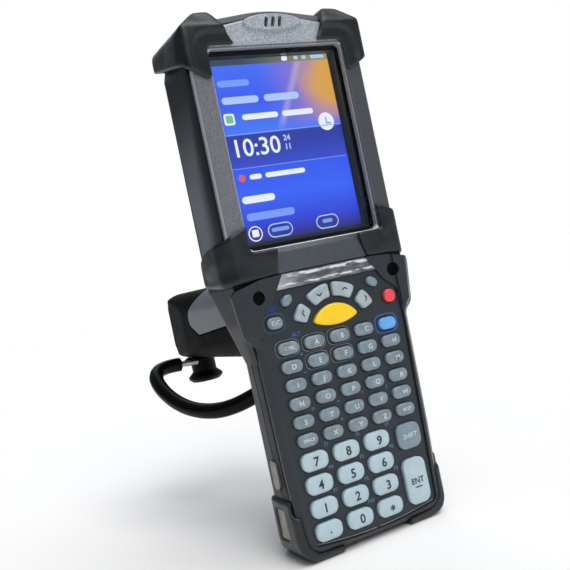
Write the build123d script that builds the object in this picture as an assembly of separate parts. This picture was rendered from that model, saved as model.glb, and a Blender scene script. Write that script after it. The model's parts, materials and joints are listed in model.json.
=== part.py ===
from build123d import *
import os
from math import cos, radians, sin, tan

os.makedirs("parts", exist_ok=True)

# A hand-held data terminal with a pistol grip, in millimetres.
# x runs to the right as the keys are faced, y from the face to the back, z from the feet to the head.
# Heights are drawn from a line below the feet, and the finished pieces are lowered onto the ground, so that
# the origin is the middle of the flat that the feet stand on.

# ---------------------------------------------------------------- driving sizes
# Body
wall = 2.2                # housing wall
boot_width = 89.4         # across the rubber corners
rubber_side = 3.3         # rubber beside the head
neck_step = 4.0           # head beyond the lower body, each side
waist_step = 1.0          # lower body narrower half-way down
foot_step = 1.6           # and again at its foot
head_width = boot_width - 2 * rubber_side
body_width = head_width - 2 * neck_step
body_waist = body_width - 2 * waist_step
body_foot = body_waist - 2 * foot_step
ground = 2.5              # flat that the feet stand on
foot_drop = 2.4           # feet below the end of the body
foot_corner = 9.0         # rounding of the body's lower corners
head_foot = 86.0          # where the head begins to widen
head_wide = 118.0         # where it reaches its full width
head_end = 227.0          # end of the head beside its crown
crown = 3.4               # rise of the end at its middle
head_back = 25.0          # back of the head
body_back = 18.0          # back of the lower body
seam_y = -15.6            # joint between the front and back of the lower body

# Display
bezel_face = -17.4
bezel_thickness = 2.9
display_z = 172.4         # middle of the display
window_width = 63.0
window_height = 82.7
glass_lip = 2.5           # glass under the bezel, each side
glass_thickness = 1.6
gasket_depth = 3.9
lcd_width = 57.0          # picture area
lcd_height = 76.0
lcd_rim = 2.5
lcd_thickness = 4.4
board_thickness = 1.6
board_side = 4.9          # room beside the main board
board_half = head_width / 2 - board_side
board_foot = 117.5
board_top = 214.0

# Keypad
keypad_face = -18.4       # printed overlay
frame_rise = 0.9          # rim of the keypad frame in front of the overlay
ear_rise = 1.0            # ears in front of that rim
overlay_thickness = 1.6
overlay_foot = 9.6        # lower corners of the overlay
frame_side = 3.3          # keypad frame beside the overlay, at its head
frame_side_foot = 3.6     # and at its foot
overlay_foot_half = body_foot / 2 - frame_side_foot
overlay_bow = overlay_foot_half * 7 / 52   # bend of its lower edge between the corners
overlay_head_half = body_width / 2 - frame_side
overlay_top = 113.7
bar_top = 119.7           # indicator bar, above the overlay
bar_inset = 9.7           # overlay's shoulder beside the bar
bar_slant = 3.8           # slant of the bar's ends
bar_foot_half = overlay_head_half - bar_inset
bar_top_half = bar_foot_half - bar_slant
bar_depth = 2.6
plate_top = 128.6         # bare plate above the bar
plate_depth = 1.2
boot_lip = 1.3            # top boots' lips in front of the bezel
boot_step = 1.2           # and the caps in front of the lips
boot_lip_width = 6.5
frame_bevel = 2.6
ear_foot = 97.0           # lower end of the ears
ear_inset = 0.4           # ears inside the rubber corners
ear_half = boot_width / 2 - ear_inset
key_rise = 1.5            # key tops in front of the overlay
key_travel = 0.8
key_side_gap = 0.3
key_lip = 0.6             # flange around the foot of a key
flange_thickness = 0.8
flange_gap = 0.15
press_gap = 0.3           # left under a pressed key
mat_thickness = 1.2
mat_gap = 0.2

# Spacings and widths across are shares of the overlay's half width
letter_pitch = 0.36 * overlay_head_half
letter_row_pitch = 7.6
letter_top_z = 89.9
letter_key = (0.273 * overlay_head_half, 5.2)
number_pitch = 0.448 * overlay_head_half
number_row_pitch = 9.57
number_middle_x = -0.2375 * overlay_head_half
number_top_z = 43.0
number_key = (0.361 * overlay_head_half, 7.4)
number_corner = 3.2
ring_centre_z = 92.0      # centre that the cursor keys are set around
ring_inner = 14.6
ring_outer = 20.5
ring_corner = 1.1
scan_tip_x = 10.8
scan_tip_z = 97.4
scan_top_z = 103.6
scan_foot_z = 94.7

# Screws
screw_radius = 1.25
screw_head_radius = 2.5
screw_head = 1.8
screw_length = 14.0
screw_well_radius = 2.9
boss_radius = 3.0
ear_screw_x = ear_half - 11.3
ear_screw_z = 112.2
case_screw_x = 22.5
case_screw_low_z = 123.2
case_screw_high_z = 220.0

# Battery and its release buttons
battery_half = 22.5
battery_front = 1.3
battery_length = 64.5
battery_gap = 0.3
release_y = -8.2
release_z = 39.7
release_size = (5.2, 12.2)
release_rise = 0.7
strike_size = (7.2, 12.4)
strike_y = -6.6
strike_z = 18.8
strike_depth = 3.9
strike_face = body_foot / 2 + 2.1
strike_base = strike_face - strike_depth
side_wall = 4.4           # wall of the lower body beside the keypad board

# Scan end
connector_half = 13.8     # contact block at the foot
scan_half = 18.0
scan_front = -1.0
scan_back = 17.0
scan_ring = 3.0
scan_depth = 6.0
engine_height = 16.0

# Grip
grip_root_y = 27.0
grip_end_y = 172.0
grip_width = 29.0
grip_top_z = 121.7
grip_foot_z = 82.0
grip_corner = 12.0
sleeve_thickness = 2.0
grip_wall = 2.5
sleeve_root_y = 48.0
trigger_width = 11.2
trigger_gap = 0.5
slot_front = 30.5         # trigger's slot in the grip
slot_back = 63.0
trigger_pin_y = 37.0
trigger_pin_z = 111.5
trigger_pin_radius = 1.5
switch_z = 103.0          # top of the trigger's board
switch_front = 44.0
switch_back = 70.0
post_y = 149.0
post_neck_radius = 7.3
post_flange_radius = 10.3
post_foot_z = 67.2
post_flange = 6.0
strap_diameter = 8.0
socket_radius = 5.2
socket_length = 12.0
hitch_radius = 1.2
hitch_z = 79.6
clasp_size = (4.0, 3.4)
clasp_length = 11.5

# ---------------------------------------------------------------- sizes that follow
body_end = ground + foot_drop
glass_face = bezel_face + bezel_thickness
lcd_face = glass_face + glass_thickness + gasket_depth
board_face = lcd_face + lcd_thickness
overlay_back = keypad_face + overlay_thickness
flange_face = overlay_back + flange_gap
flange_back = flange_face + flange_thickness
mat_face = flange_back + key_travel + press_gap
mat_back = mat_face + mat_thickness
key_top = keypad_face - key_rise
frame_face = keypad_face - frame_rise
ear_face = frame_face - ear_rise
boot_half = boot_width / 2
head_half = head_width / 2
crown_round = 1.9 * head_half
body_half = body_width / 2
waist_half = body_waist / 2
waist_z = 42.0
window_half = window_width / 2
window_top = display_z + window_height / 2
window_foot = display_z - window_height / 2
bay_front = battery_front - battery_gap
bay_half = battery_half + battery_gap
bay_top = body_end + battery_length + battery_gap
grip_half = grip_width / 2
grip_z = (grip_top_z + grip_foot_z) / 2
ear_seat = ear_face + 3.2
back_seat = head_back - screw_head - 0.3
FAR = 400.0

pieces = {}


# ---------------------------------------------------------------- shapes
def shape(*corners):
    """Flat shape through corners (u, v) or (u, v, rounding radius)."""
    radii = [corner[2] if len(corner) > 2 else 0.0 for corner in corners]
    return make_face(FilletPolyline(*[corner[:2] for corner in corners], radius=radii, close=True))


def both_sides(*corners):
    """Shape that is the same left and right, from its right half, low to high."""
    return shape(*corners, *[(-corner[0], *corner[1:]) for corner in reversed(corners) if corner[0] > 0])


def on_side(side, *corners):
    """Shape of the right side, or its mirror image for side = -1."""
    return shape(*[(side * corner[0], *corner[1:]) for corner in corners])


def along_x(face, left, right):
    """Carries a (y, z) shape from x = left to x = right."""
    end = Plane(origin=(left, 0, 0), x_dir=(0, 1, 0), z_dir=(1, 0, 0))
    return end.location * extrude(face, amount=right - left)


def along_y(face, front, back):
    """Carries an (x, z) shape from y = front to y = back."""
    return Pos(0, back, 0) * Rot(90, 0, 0) * extrude(face, amount=back - front)


def bevelled_y(face, front, back, bevel):
    """The same, with the front edges bevelled."""
    bevelled = Pos(0, front + bevel, 0) * Rot(90, 0, 0) * extrude(face, amount=bevel, taper=45)
    return along_y(face, front + bevel, back) + bevelled


def along_z(face, low, high):
    """Carries an (x, y) shape from z = low to z = high."""
    return Pos(0, 0, low) * extrude(face, amount=high - low)


def block(x_low, x_high, y_low, y_high, z_low, z_high):
    """Plain block between two corners."""
    size = (x_high - x_low, y_high - y_low, z_high - z_low)
    return Pos((x_low + x_high) / 2, (y_low + y_high) / 2, (z_low + z_high) / 2) * Box(*size)


def disc(x, z, radius):
    return Pos(x, z) * Circle(radius)


def drill(x, z, radius, front, back):
    """Round bar along y."""
    return along_y(disc(x, z, radius), front, back)


def screw(x, z, seat, way):
    """Screw whose head stands on the seat at y = seat and whose shaft goes the given way along y."""
    head = drill(x, z, screw_head_radius, *sorted((seat, seat - way * screw_head)))
    return head + drill(x, z, screw_radius, *sorted((seat, seat + way * screw_length)))


def keep(name, *solids):
    """Files a named piece, or a set of like pieces."""
    pieces[name] = solids[0] if len(solids) == 1 else Compound(list(solids))


# ---------------------------------------------------------------- forms that neighbours share
def body_plan(inset, front):
    """Boat-shaped plan of the lower body."""
    return both_sides(
        (body_half - inset, front),
        (body_half - inset, -3.5 - inset / 2, 8.0),
        (25.5 - inset, body_back - inset, 4.0 - inset / 2),
    )


def head_plan(inset, front):
    """Wider plan of the head."""
    return both_sides(
        (head_half - inset, front),
        (head_half - inset, 12.0 - inset / 2, 9.0),
        (head_half - 8.4 - inset, head_back - inset, 6.0 - inset),
    )


def head_form(inset, front):
    """Head: a neck that widens from the lower body's plan, then the head's own plan up to the crowned end."""
    neck_foot = Pos(0, 0, head_foot) * body_plan(inset, front)
    neck_top = Pos(0, 0, head_wide) * head_plan(inset, front)
    neck = loft([neck_foot, neck_top], ruled=True)
    outline = both_sides(
        (head_half - inset, head_wide - 1.0),
        (head_half - inset, head_end - 18.0, 6.0),
        (head_half - 8.4 - inset, head_end - 2.7 - inset, 4.0),
        (head_half - 17.4, head_end - inset, 3.0),
        (0.0, head_end + crown - inset, crown_round),
    )
    head = along_z(head_plan(inset, front), head_wide, head_end + crown + 1.0)
    return neck + (head & along_y(outline, front - 1, head_back + 1))


def body_form(inset, front, low, high):
    """Lower body: its plan carried up the length and cut to its front outline."""
    outline = both_sides((body_half - inset, low), (body_half - inset, high))
    if low < waist_z:
        outline = both_sides(
            (body_foot / 2 - inset, low, max(foot_corner - inset, 1.0)),
            (waist_half - inset, waist_z, 60.0),
            (body_half - inset, head_foot, 3.0),
            (body_half - inset, FAR),
        )
    return along_z(body_plan(inset, front), low, high) & along_y(outline, front - 1, body_back + 1)


def frame_outline(rise=0.0):
    """Keypad frame with its two ears; the rise carries its top edge upward."""
    return both_sides(
        (body_foot / 2, body_end, foot_corner),
        (waist_half, waist_z, 60.0),
        (body_half, ear_foot - 4.0, 4.0),
        (head_half, ear_foot, 4.0),
        (ear_half, bar_top - 3.6 + rise, 4.0),
        (ear_half - 13.3, bar_top - 0.5 + rise, 16.0),
        (bar_top_half + 0.4, bar_top + rise),
    )


def overlay_outline():
    return both_sides(
        (0.0, overlay_foot - overlay_bow, 6 * overlay_foot_half),
        (overlay_foot_half, overlay_foot, 2.5),
        (overlay_head_half, head_foot + 4.0, 12.0),
        (overlay_head_half - 0.6, overlay_top - 10.0, 3.0),
        (bar_foot_half + 2.8, overlay_top - 4.4, 2.0),
        (bar_foot_half, overlay_top),
    )


def bar_outline():
    return both_sides((bar_foot_half, overlay_top), (bar_top_half, bar_top))


def bezel_outline():
    return both_sides(
        (head_half - 1.2, bar_top + 0.1, 2.0),
        (head_half - 1.2, head_end - 20.5, 5.0),
        (head_half - 10.4, head_end - 6.0, 3.0),
        (head_half - 18.4, head_end - 3.4, 2.0),
        (0.0, head_end + 0.9, crown_round),
    )


def plate_outline(grow=0.0):
    """Bare plate between the display and the indicator bar."""
    return both_sides((bar_top_half + 1.0 + grow, bar_top + 0.6 - grow),
                      (bar_top_half - 0.9 + grow, plate_top + grow))


head_solid = head_form(0.0, seam_y) - block(-FAR, FAR, -FAR, glass_face, bar_top + 0.1, FAR)
body_solid = body_form(0.0, seam_y, body_end, head_foot)


def frame_form(front, bevel):
    """Keypad frame without its hollows, its side edges bevelled in front and its top edge straight."""
    return bevelled_y(frame_outline(6.0), front, seam_y, bevel) & along_y(frame_outline(), front, seam_y)


ear_band = block(-FAR, FAR, ear_face, seam_y, ear_foot - 1.0, FAR)
ear_band -= along_y(both_sides((overlay_head_half, 0.0), (overlay_head_half, 104.0), (bar_foot_half, FAR)),
                    ear_face - 1, frame_face)
frame_solid = frame_form(frame_face, frame_bevel)
frame_solid += frame_form(ear_face, frame_bevel + ear_rise) & ear_band
bezel_solid = along_y(bezel_outline(), bezel_face, glass_face)


# ---------------------------------------------------------------- route of the wrist strap
strap_points = [
    Vector(-18.5, 138.4, 81.0),
    Vector(-29.5, 136.8, 82.0),
    Vector(-37.6, 128.8, 78.4),
    Vector(-38.6, 116.0, 71.0),
    Vector(-36.2, 102.0, 64.2),
    Vector(-32.0, 88.5, 60.0),
    Vector(-26.2, 75.0, 58.6),
    Vector(-19.6, 62.0, 60.4),
    Vector(-11.8, 50.0, 65.0),
    Vector(-4.6, 40.5, 70.2),
    Vector(0.0, 30.0, 73.8),
]


def arc_radii(points):
    """Largest arc at each corner that its two runs leave room for."""
    radii = []
    for before, corner, after in zip(points, points[1:], points[2:]):
        shorter = min((corner - before).length, (after - corner).length)
        turn = (corner - before).get_angle(after - corner)
        radii.append(0.45 * shorter / tan(radians(turn / 2)))
    return radii


strap_radii = arc_radii(strap_points)
strap_path = FilletPolyline(*strap_points, radius=strap_radii)
strap_start = strap_path % 0
strap_end = strap_path % 1
strap_section = Plane(origin=strap_points[0], z_dir=strap_start) * Circle(strap_diameter / 2)
strap = sweep(strap_section, path=strap_path)
strap_socket = extrude(Circle(socket_radius), amount=socket_length)
strap_socket = Plane(origin=strap_points[-1], z_dir=strap_end) * strap_socket
print("strap length", round(strap_path.length, 1), "radii", [round(radius, 1) for radius in strap_radii])
print("strap volume over section times length", strap.volume / (strap_section.area * strap_path.length))


# ---------------------------------------------------------------- front of the display
def display_bezel():
    """Grey front with the window, the speaker boss and four long screw bosses."""
    edge = chamfer(bezel_solid.faces().sort_by(Axis.Y)[0].edges(), 0.8)
    opening = RectangleRounded(window_width, window_height, 2.5)
    edge -= along_y(Pos(0, display_z) * opening, bezel_face - 1, glass_face + 1)
    edge -= along_x(shape((bezel_face - 1, window_foot + 1.0), (bezel_face + 0.5, window_foot + 1.0),
                          (bezel_face + 0.5, window_top - 1.0), (bezel_face - 1, window_top - 1.0)),
                    -window_half - 1.0, window_half + 1.0)
    edge -= along_y(plate_outline(), bezel_face - 1, bezel_face + plate_depth)
    boss = extrude(Ellipse(14.0, 3.9), amount=1.3, taper=25)
    boss = Pos(0, bezel_face, head_end - 3.3) * Rot(90, 0, 0) * boss
    edge += boss
    for place in (-1, 0, 1):
        slot = Rot(0, 0, -18) * RectangleRounded(1.5, 4.6, 0.7)
        edge -= along_y(Pos(place * 3.2, head_end - 3.3) * slot, bezel_face - 3, glass_face + 1)
    for x in (-case_screw_x, case_screw_x):
        for z in (case_screw_low_z, case_screw_high_z):
            edge += drill(x, z, boss_radius, glass_face, back_seat - 1.8)
            edge -= drill(x, z, screw_radius, back_seat - screw_length - 1.0, FAR)
    return edge


keep("display_bezel", display_bezel())
keep("front_plate",
     along_y(plate_outline(), -FAR, bezel_face + plate_depth)
     & along_x(shape((bezel_face + plate_depth, bar_top), (bezel_face + plate_depth, plate_top + 0.4),
                     (bezel_face - 0.2, plate_top + 0.4), (bezel_face - plate_depth, bar_top)), -FAR, FAR))
glass_half = window_half + glass_lip
glass_area = RectangleRounded(2 * glass_half, window_height + 2 * glass_lip, 3.0)
glass_area = Pos(0, display_z) * glass_area
picture_area = Pos(0, display_z) * Rectangle(lcd_width, lcd_height)
mask_area = Pos(0, display_z) * Rectangle(lcd_width + 2 * lcd_rim - 2, lcd_height + 2 * lcd_rim - 2)
keep("display_window", along_y(glass_area, glass_face, glass_face + glass_thickness))
keep("display_gasket", along_y(glass_area - mask_area, glass_face + glass_thickness, lcd_face))
lcd_area = Pos(0, display_z) * Rectangle(lcd_width + 2 * lcd_rim, lcd_height + 2 * lcd_rim)
keep("lcd_module", along_y(lcd_area, lcd_face, board_face))

board = along_y(both_sides((board_half, board_foot, 2.0), (board_half, board_top, 2.0)),
                board_face, board_face + board_thickness)
for x in (-case_screw_x, case_screw_x):
    board -= drill(x, case_screw_low_z, boss_radius + 0.6, -FAR, FAR)
keep("main_board", board)
speaker_area = Pos(0, head_end - 6.5) * RectangleRounded(18.0, 7.4, 3.0)
keep("speaker", along_y(speaker_area, glass_face, glass_face + 4.0))


# ---------------------------------------------------------------- back of the housing
def connector_area(gap):
    """Contact block at the foot, between the keypad board and the battery, grown by a gap."""
    return both_sides((connector_half + gap, mat_back + board_thickness + 0.8 - gap),
                      (connector_half + gap, bay_front - wall - 1.0 + gap))


def rear_housing():
    """Back shell: head, battery bay, ledge for the keypad board, screw pillars, grip root and strap lug."""
    shell = head_solid + body_solid
    shell += along_y(Pos(0, grip_z + 0.2) * RectangleRounded(36.0, 46.0, 8.0), 12.0, grip_root_y)
    shell += strap_socket
    pocket_back = mat_back + board_thickness
    inside = head_form(wall, glass_face - 1) & block(-FAR, FAR, glass_face - 1, FAR, bar_top + 0.1, FAR)
    inside += head_form(wall, pocket_back)
    inside += body_form(side_wall, pocket_back, body_end + side_wall, bay_top) & block(
        -FAR, FAR, -FAR, bay_front - wall, 0, FAR)
    inside += body_form(side_wall, pocket_back, bay_top + wall, head_foot + wall + 5.0)
    inside += along_y(overlay_outline(), seam_y - 1, pocket_back)
    inside -= along_y(Pos(0, grip_z) * RectangleRounded(30.0, 40.0, 6.0), 17.0, FAR)
    shell -= inside
    shell -= block(-bay_half, bay_half, bay_front, FAR, 0, bay_top)
    for side in (-1, 1):
        pillar = Pos(side * (ear_screw_x - boss_radius + head_half - 2.0) / 2, ear_screw_z) * Rectangle(
            head_half - 2.0 - ear_screw_x + boss_radius, 2 * boss_radius)
        pillar_back = ear_seat + screw_length + 2.0
        shell += along_y(pillar, seam_y, pillar_back)
        shell -= drill(side * ear_screw_x, ear_screw_z, screw_radius, -FAR, pillar_back - 1.0)
        for z in (case_screw_low_z, case_screw_high_z):
            shell += drill(side * case_screw_x, z, screw_head_radius + 1.6, back_seat - 1.6, back_seat + 1)
            shell -= drill(side * case_screw_x, z, screw_radius + 0.2, back_seat - 4, FAR)
            shell -= drill(side * case_screw_x, z, screw_head_radius + 0.3, back_seat, FAR)
        slot = Pos(release_y, release_z) * SlotOverall(release_size[1] + 0.6, release_size[0] + 0.6, 90)
        shell -= along_x(slot, *sorted((side * (waist_half - side_wall - 1), side * FAR)))
        seat = Pos(strike_y, strike_z) * RectangleRounded(*strike_size, 0.8)
        shell -= along_x(seat, *sorted((side * strike_base, side * FAR)))
        for y in (seam_y + 0.6, seam_y + 6.2):
            shell -= block(*sorted((side * (waist_half - 0.6), side * FAR)), y, y + 0.8, 31.0, head_foot)
    opening = shape((-scan_half, scan_front, 2), (scan_half, scan_front, 2), (scan_half, scan_back, 2),
                    (-scan_half, scan_back, 2))
    shell -= along_z(opening, head_end - scan_depth, FAR)
    shell -= along_z(connector_area(0.2), 0, body_end + side_wall + 1)
    return shell


keep("rear_housing", rear_housing())
# Scan end: ring, glass and engine
ring_area = both_sides((scan_half - 0.1, scan_front + 0.1, 2.0), (scan_half - 0.1, scan_back - 0.1, 2.0))
beam_area = both_sides((scan_half - scan_ring, scan_front + scan_ring, 1.0),
                       (scan_half - scan_ring, scan_back - scan_ring, 1.0))
keep("scan_bezel", along_z(ring_area - beam_area, head_end - scan_depth, head_end - 0.4))
scan_glass_area = both_sides((scan_half - 1.5, scan_front + 1.5), (scan_half - 1.5, scan_back - 1.5))
keep("scan_window", along_z(scan_glass_area, head_end - scan_depth - 1.6, head_end - scan_depth))
keep("scan_engine", block(-16.0, 16.0, 0.5, 15.5, head_end - scan_depth - 1.6 - engine_height,
                          head_end - scan_depth - 1.6))
keep("interface_connector", along_z(connector_area(0.0), body_end - 1.0, body_end + 8.0))


# ---------------------------------------------------------------- rubber corners
def boot_plan(front, bevel, widest, back_half, back):
    """Outside of the rubber corners, seen along the length: a bevel in front, then the flank."""
    return both_sides((boot_half - bevel, front, 2.5), (boot_half, front + bevel + 2.0, 4.0),
                      (boot_half, widest, 9.0), (back_half, back, 3.0))


def top_boot(side):
    """Corner cap at the scan end: its top slopes back, and a lower, bent lip lies over the bezel."""
    top = head_end + 3.2
    inner = window_half + 0.5
    front = bezel_face - boot_lip - boot_step
    region = on_side(side, (boot_half - 25.4, window_top + 1.3), (boot_half - 17.9, top, 2.0),
                     (boot_half - 10.7, top - 0.3, 6.0), (boot_half - 0.5, top - 8.4, 9.0),
                     (boot_half + 0.3, window_top - 6.0, 1.5), (inner + 1.4, window_top - 12.4, 1.0),
                     (inner, window_top - 11.0), (inner, window_top + 1.3, 2.0))
    back = head_back + 1.5
    flank = shape((front, window_top - 14.0), (bezel_face, window_top - 14.0), (bezel_face, window_top - 6.3),
                  (14.0, window_top + 1.2, 3.0), (back, window_top + 7.0), (back, top + 1.0),
                  (front + 5.4, top + 1.0), (front, window_top + 9.5))
    cap = along_y(region, front, back) & along_x(flank, -FAR, FAR)
    cap &= along_z(boot_plan(front, 3.0, 12.5, boot_half - 8.0, back), window_top - 20.0, top + 1.0)
    lip = RectangleRounded(window_width + 2 * boot_lip_width, window_height + 2 * boot_lip_width, 7.5)
    lip = Pos(0, front + boot_step, 0) * Rot(90, 0, 0) * extrude(Pos(0, display_z) * lip, amount=boot_step,
                                                                 taper=-45)
    return cap - lip - head_solid - bezel_solid


def middle_boot(side):
    """Side cushion at the foot of the display: a lip in front, and a flank that narrows to the back."""
    front = bezel_face - 2.2
    inner = window_half + 0.4
    lip = on_side(side, (bar_top_half + 1.2, bar_top + 0.4), (bar_top_half - 0.7, 128.8),
                  (bar_top_half - 0.7, window_foot - 0.2), (inner, window_foot - 0.2),
                  (inner, window_foot + 10.5),
                  (boot_half, window_foot + 5.4, 1.5), (boot_half, bar_top - 1.4, 1.5),
                  (ear_half - 13.3, bar_top + 0.2, 12.0))
    flank = shape((front, window_foot + 11.0), (bezel_face, window_foot + 11.0),
                  (bezel_face, window_foot + 6.6),
                  (0.0, window_foot + 3.5, 6.0), (14.5, window_foot - 4.5, 3.0), (13.0, bar_top + 1.5, 2.0),
                  (-12.0, bar_top - 1.8), (front, bar_top - 1.8))
    cushion = along_y(lip, front, 16.0) & along_x(flank, -FAR, FAR)
    plan = boot_plan(front, 5.0, 5.0, boot_half - 5.7, 20.0)
    cushion &= along_z(plan, bar_top - 5.0, window_foot + 14.0)
    cushion -= block(-inner, inner, glass_face, FAR, 0, FAR)
    return cushion - head_solid - frame_solid - bezel_solid - along_y(plate_outline(0.1), -FAR, glass_face)


def foot_boot(side):
    """Corner foot: a lip in front, a flank with the strike's window, and a sole beside the battery."""
    half = body_foot / 2 + 2.6
    front = frame_face + 0.7
    region = on_side(side, (16.0, ground, 1.5), (half, ground, foot_corner + 2.0), (half + 0.2, 29.0, 2.0),
                     (half - 7.4, 31.5),
                     (half - 7.4, 7.0), (17.0, body_end + 0.6))
    foot = along_y(region, front, 14.0)
    plan = both_sides((half + 0.2, front, 3.0), (half + 0.2, 0.0, 5.0), (half - 9.4, 14.0, 3.0))
    foot &= along_z(plan, 0, waist_z)
    foot -= block(-bay_half - 0.8, bay_half + 0.8, bay_front - 0.6, FAR, -1, FAR)
    foot -= along_x(shape((front - 1, 22.0), (seam_y, 24.0), (seam_y, 60.0), (front - 1, 60.0)), -FAR, FAR)
    foot -= along_x(shape((1.5, 60.0), (1.5, 12.0), (FAR, 4.0), (FAR, 60.0)), -FAR, FAR)
    toe = shape((front - 1, -1.0), (front + 3.2, -1.0), (front + 2.2, 0.0), (front, 1.8), (front - 1, 1.8))
    foot -= along_x(Pos(0, ground) * toe, -FAR, FAR)
    window = Pos(strike_y, strike_z) * RectangleRounded(strike_size[0] + 0.4, strike_size[1] + 0.4, 1.0)
    foot -= along_x(window, *sorted((side * strike_base, side * FAR)))
    return foot - body_solid - frame_solid


def strike(side):
    """Metal plate in the foot's window, for a cradle's catch."""
    plate = Pos(strike_y, strike_z) * RectangleRounded(*strike_size, 0.8)
    return along_x(plate, *sorted((side * strike_base, side * strike_face)))


for side, word in ((-1, "left"), (1, "right")):
    keep("top_boot_" + word, top_boot(side))
    keep("middle_boot_" + word, middle_boot(side))
    keep("foot_boot_" + word, foot_boot(side))
keep("cradle_strikes", strike(-1), strike(1))


# ---------------------------------------------------------------- keypad
def ring_key(start, end, out=0.0):
    """Cursor key: a piece of a ring between two angles, with round corners, carried outward by out."""
    centre = Vector(0, ring_centre_z)

    def at(radius, angle):
        return centre + Vector(radius * cos(radians(angle)), radius * sin(radians(angle)))

    middle = (start + end) / 2
    inner, outer = ring_inner + out, ring_outer + out
    edges = [ThreePointArc(at(outer, start), at(outer, middle), at(outer, end)),
             Line(at(outer, end), at(inner, end)),
             ThreePointArc(at(inner, end), at(inner, middle), at(inner, start)),
             Line(at(inner, start), at(outer, start))]
    face = make_face(edges)
    return fillet(face.vertices(), ring_corner)


def scan_key_outline():
    """Half-moon: a high arc over a shallow one."""
    left, right = (-scan_tip_x, scan_tip_z), (scan_tip_x, scan_tip_z)
    face = make_face([ThreePointArc(left, (0, scan_top_z), right),
                      ThreePointArc(right, (0, scan_foot_z), left)])
    return fillet(face.vertices(), 1.0)


# Each key is a function that gives its outline, grown by an amount
def any_key(face):
    return lambda grow: offset(face, amount=grow) if grow else face


def round_key(x, z, radius):
    return lambda grow: disc(x, z, radius + grow)


def slot_key(x, z, size, turn=0):
    return lambda grow: Pos(x, z) * Rot(0, 0, turn) * SlotOverall(size[0] + 2 * grow, size[1] + 2 * grow)


def block_key(x, z, size, corner):
    return lambda grow: Pos(x, z) * RectangleRounded(size[0] + 2 * grow, size[1] + 2 * grow, corner + grow)


def share(part):
    """Distance across the keypad, as a share of the overlay's half width."""
    return part * overlay_head_half


key_groups = {
    "scan_key": [any_key(scan_key_outline())],
    "power_key": [round_key(share(0.833), 101.3, 2.9)],
    "escape_key": [slot_key(share(-0.827), 101.0, (6.8, 4.8))],
    "up_key": [any_key(ring_key(55.0, 87.0))],
    "down_key": [any_key(ring_key(93.0, 125.0))],
    "left_key": [any_key(ring_key(135.5, 156.5, 0.7))],
    "right_key": [any_key(ring_key(23.5, 44.5, 0.7))],
    "side_keys": [slot_key(side * share(0.616), 108.9, (5.4, 3.6), side * -38) for side in (-1, 1)],
    "function_key": [slot_key(2 * letter_pitch, letter_top_z, (8.6, 5.2))],
    "shift_key": [block_key(share(0.686), 40.5, (share(0.352), 11.0), 3.6)],
    "enter_key": [block_key(share(0.666), 20.9, (share(0.334), 19.8), 3.6)],
}
for row in range(6):
    columns = range(4 if row == 0 else 5)
    key_groups[f"letter_keys_{row + 1}"] = [
        slot_key((column - 2) * letter_pitch, letter_top_z - row * letter_row_pitch, letter_key)
        for column in columns]
for row in range(4):
    key_groups[f"number_keys_{row + 1}"] = [
        block_key(number_middle_x + (column - 1) * number_pitch, number_top_z - row * number_row_pitch,
                  number_key, number_corner) for column in range(3)]


def key_solid(outline):
    """Cap over a flange that stays under the overlay."""
    return along_y(outline(0), key_top, flange_face) + along_y(outline(key_lip), flange_face, flange_back)


overlay = along_y(overlay_outline(), keypad_face, overlay_back)
for name, outlines in key_groups.items():
    keep(name, *[key_solid(outline) for outline in outlines])
    for outline in outlines:
        overlay -= along_y(outline(key_side_gap), keypad_face - 1, overlay_back + 1)
keep("keypad_overlay", overlay)

mat_area = offset(overlay_outline(), amount=-mat_gap)
keep("key_mat", along_y(mat_area, mat_face, mat_back))
keep("keypad_board", along_y(mat_area, mat_back, mat_back + board_thickness))


def keypad_frame():
    """Front of the lower body: a bevelled ring round the overlay, two screwed ears, a seat for the bar."""
    ring = frame_solid - along_y(overlay_outline(), -FAR, FAR)
    ring -= along_y(bar_outline(), -FAR, frame_face + bar_depth)
    for side in (-1, 1):
        x = side * ear_screw_x
        ring -= drill(x, ear_screw_z, screw_well_radius, -FAR, ear_seat)
        ring -= drill(x, ear_screw_z, screw_radius + 0.2, -FAR, FAR)
    return ring


keep("keypad_frame", keypad_frame())
keep("case_screws", *[screw(side * ear_screw_x, ear_screw_z, ear_seat, 1) for side in (-1, 1)],
     *[screw(x, z, back_seat, -1) for x in (-case_screw_x, case_screw_x)
       for z in (case_screw_low_z, case_screw_high_z)])
bar = along_y(bar_outline(), frame_face, frame_face + bar_depth)
bar &= along_x(shape((frame_face, overlay_top), (frame_face + bar_depth, overlay_top),
                     (frame_face + bar_depth, bar_top), (frame_face + 0.6, bar_top)), -FAR, FAR)
keep("light_bar", bar)

# ---------------------------------------------------------------- battery and its release buttons
battery_top = body_end + battery_length
battery = block(-battery_half, battery_half, battery_front, body_back, body_end, battery_top)
battery = fillet(battery.edges().filter_by(Axis.Z).group_by(Axis.Y)[0], 2.0)
for place in range(4):
    groove = body_end + 8.0 + 4.0 * place
    battery -= block(-16.0, 16.0, body_back - 0.8, FAR, groove, groove + 2.0)
keep("battery_pack", battery)


def release_button(side):
    """Side button: a slot-shaped cap with a flange inside the wall."""
    cap = Pos(release_y, release_z) * SlotOverall(release_size[1], release_size[0], 90)
    flange = Pos(release_y, release_z) * Rectangle(release_size[0] + 1.2, release_size[1] + 1.6)
    inner = waist_half - side_wall - 0.7
    button = along_x(cap, *sorted((side * inner, side * (waist_half + release_rise))))
    return button + along_x(flange, *sorted((side * (inner - 1.0), side * inner)))


keep("release_button_left", release_button(-1))
keep("release_button_right", release_button(1))


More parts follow.
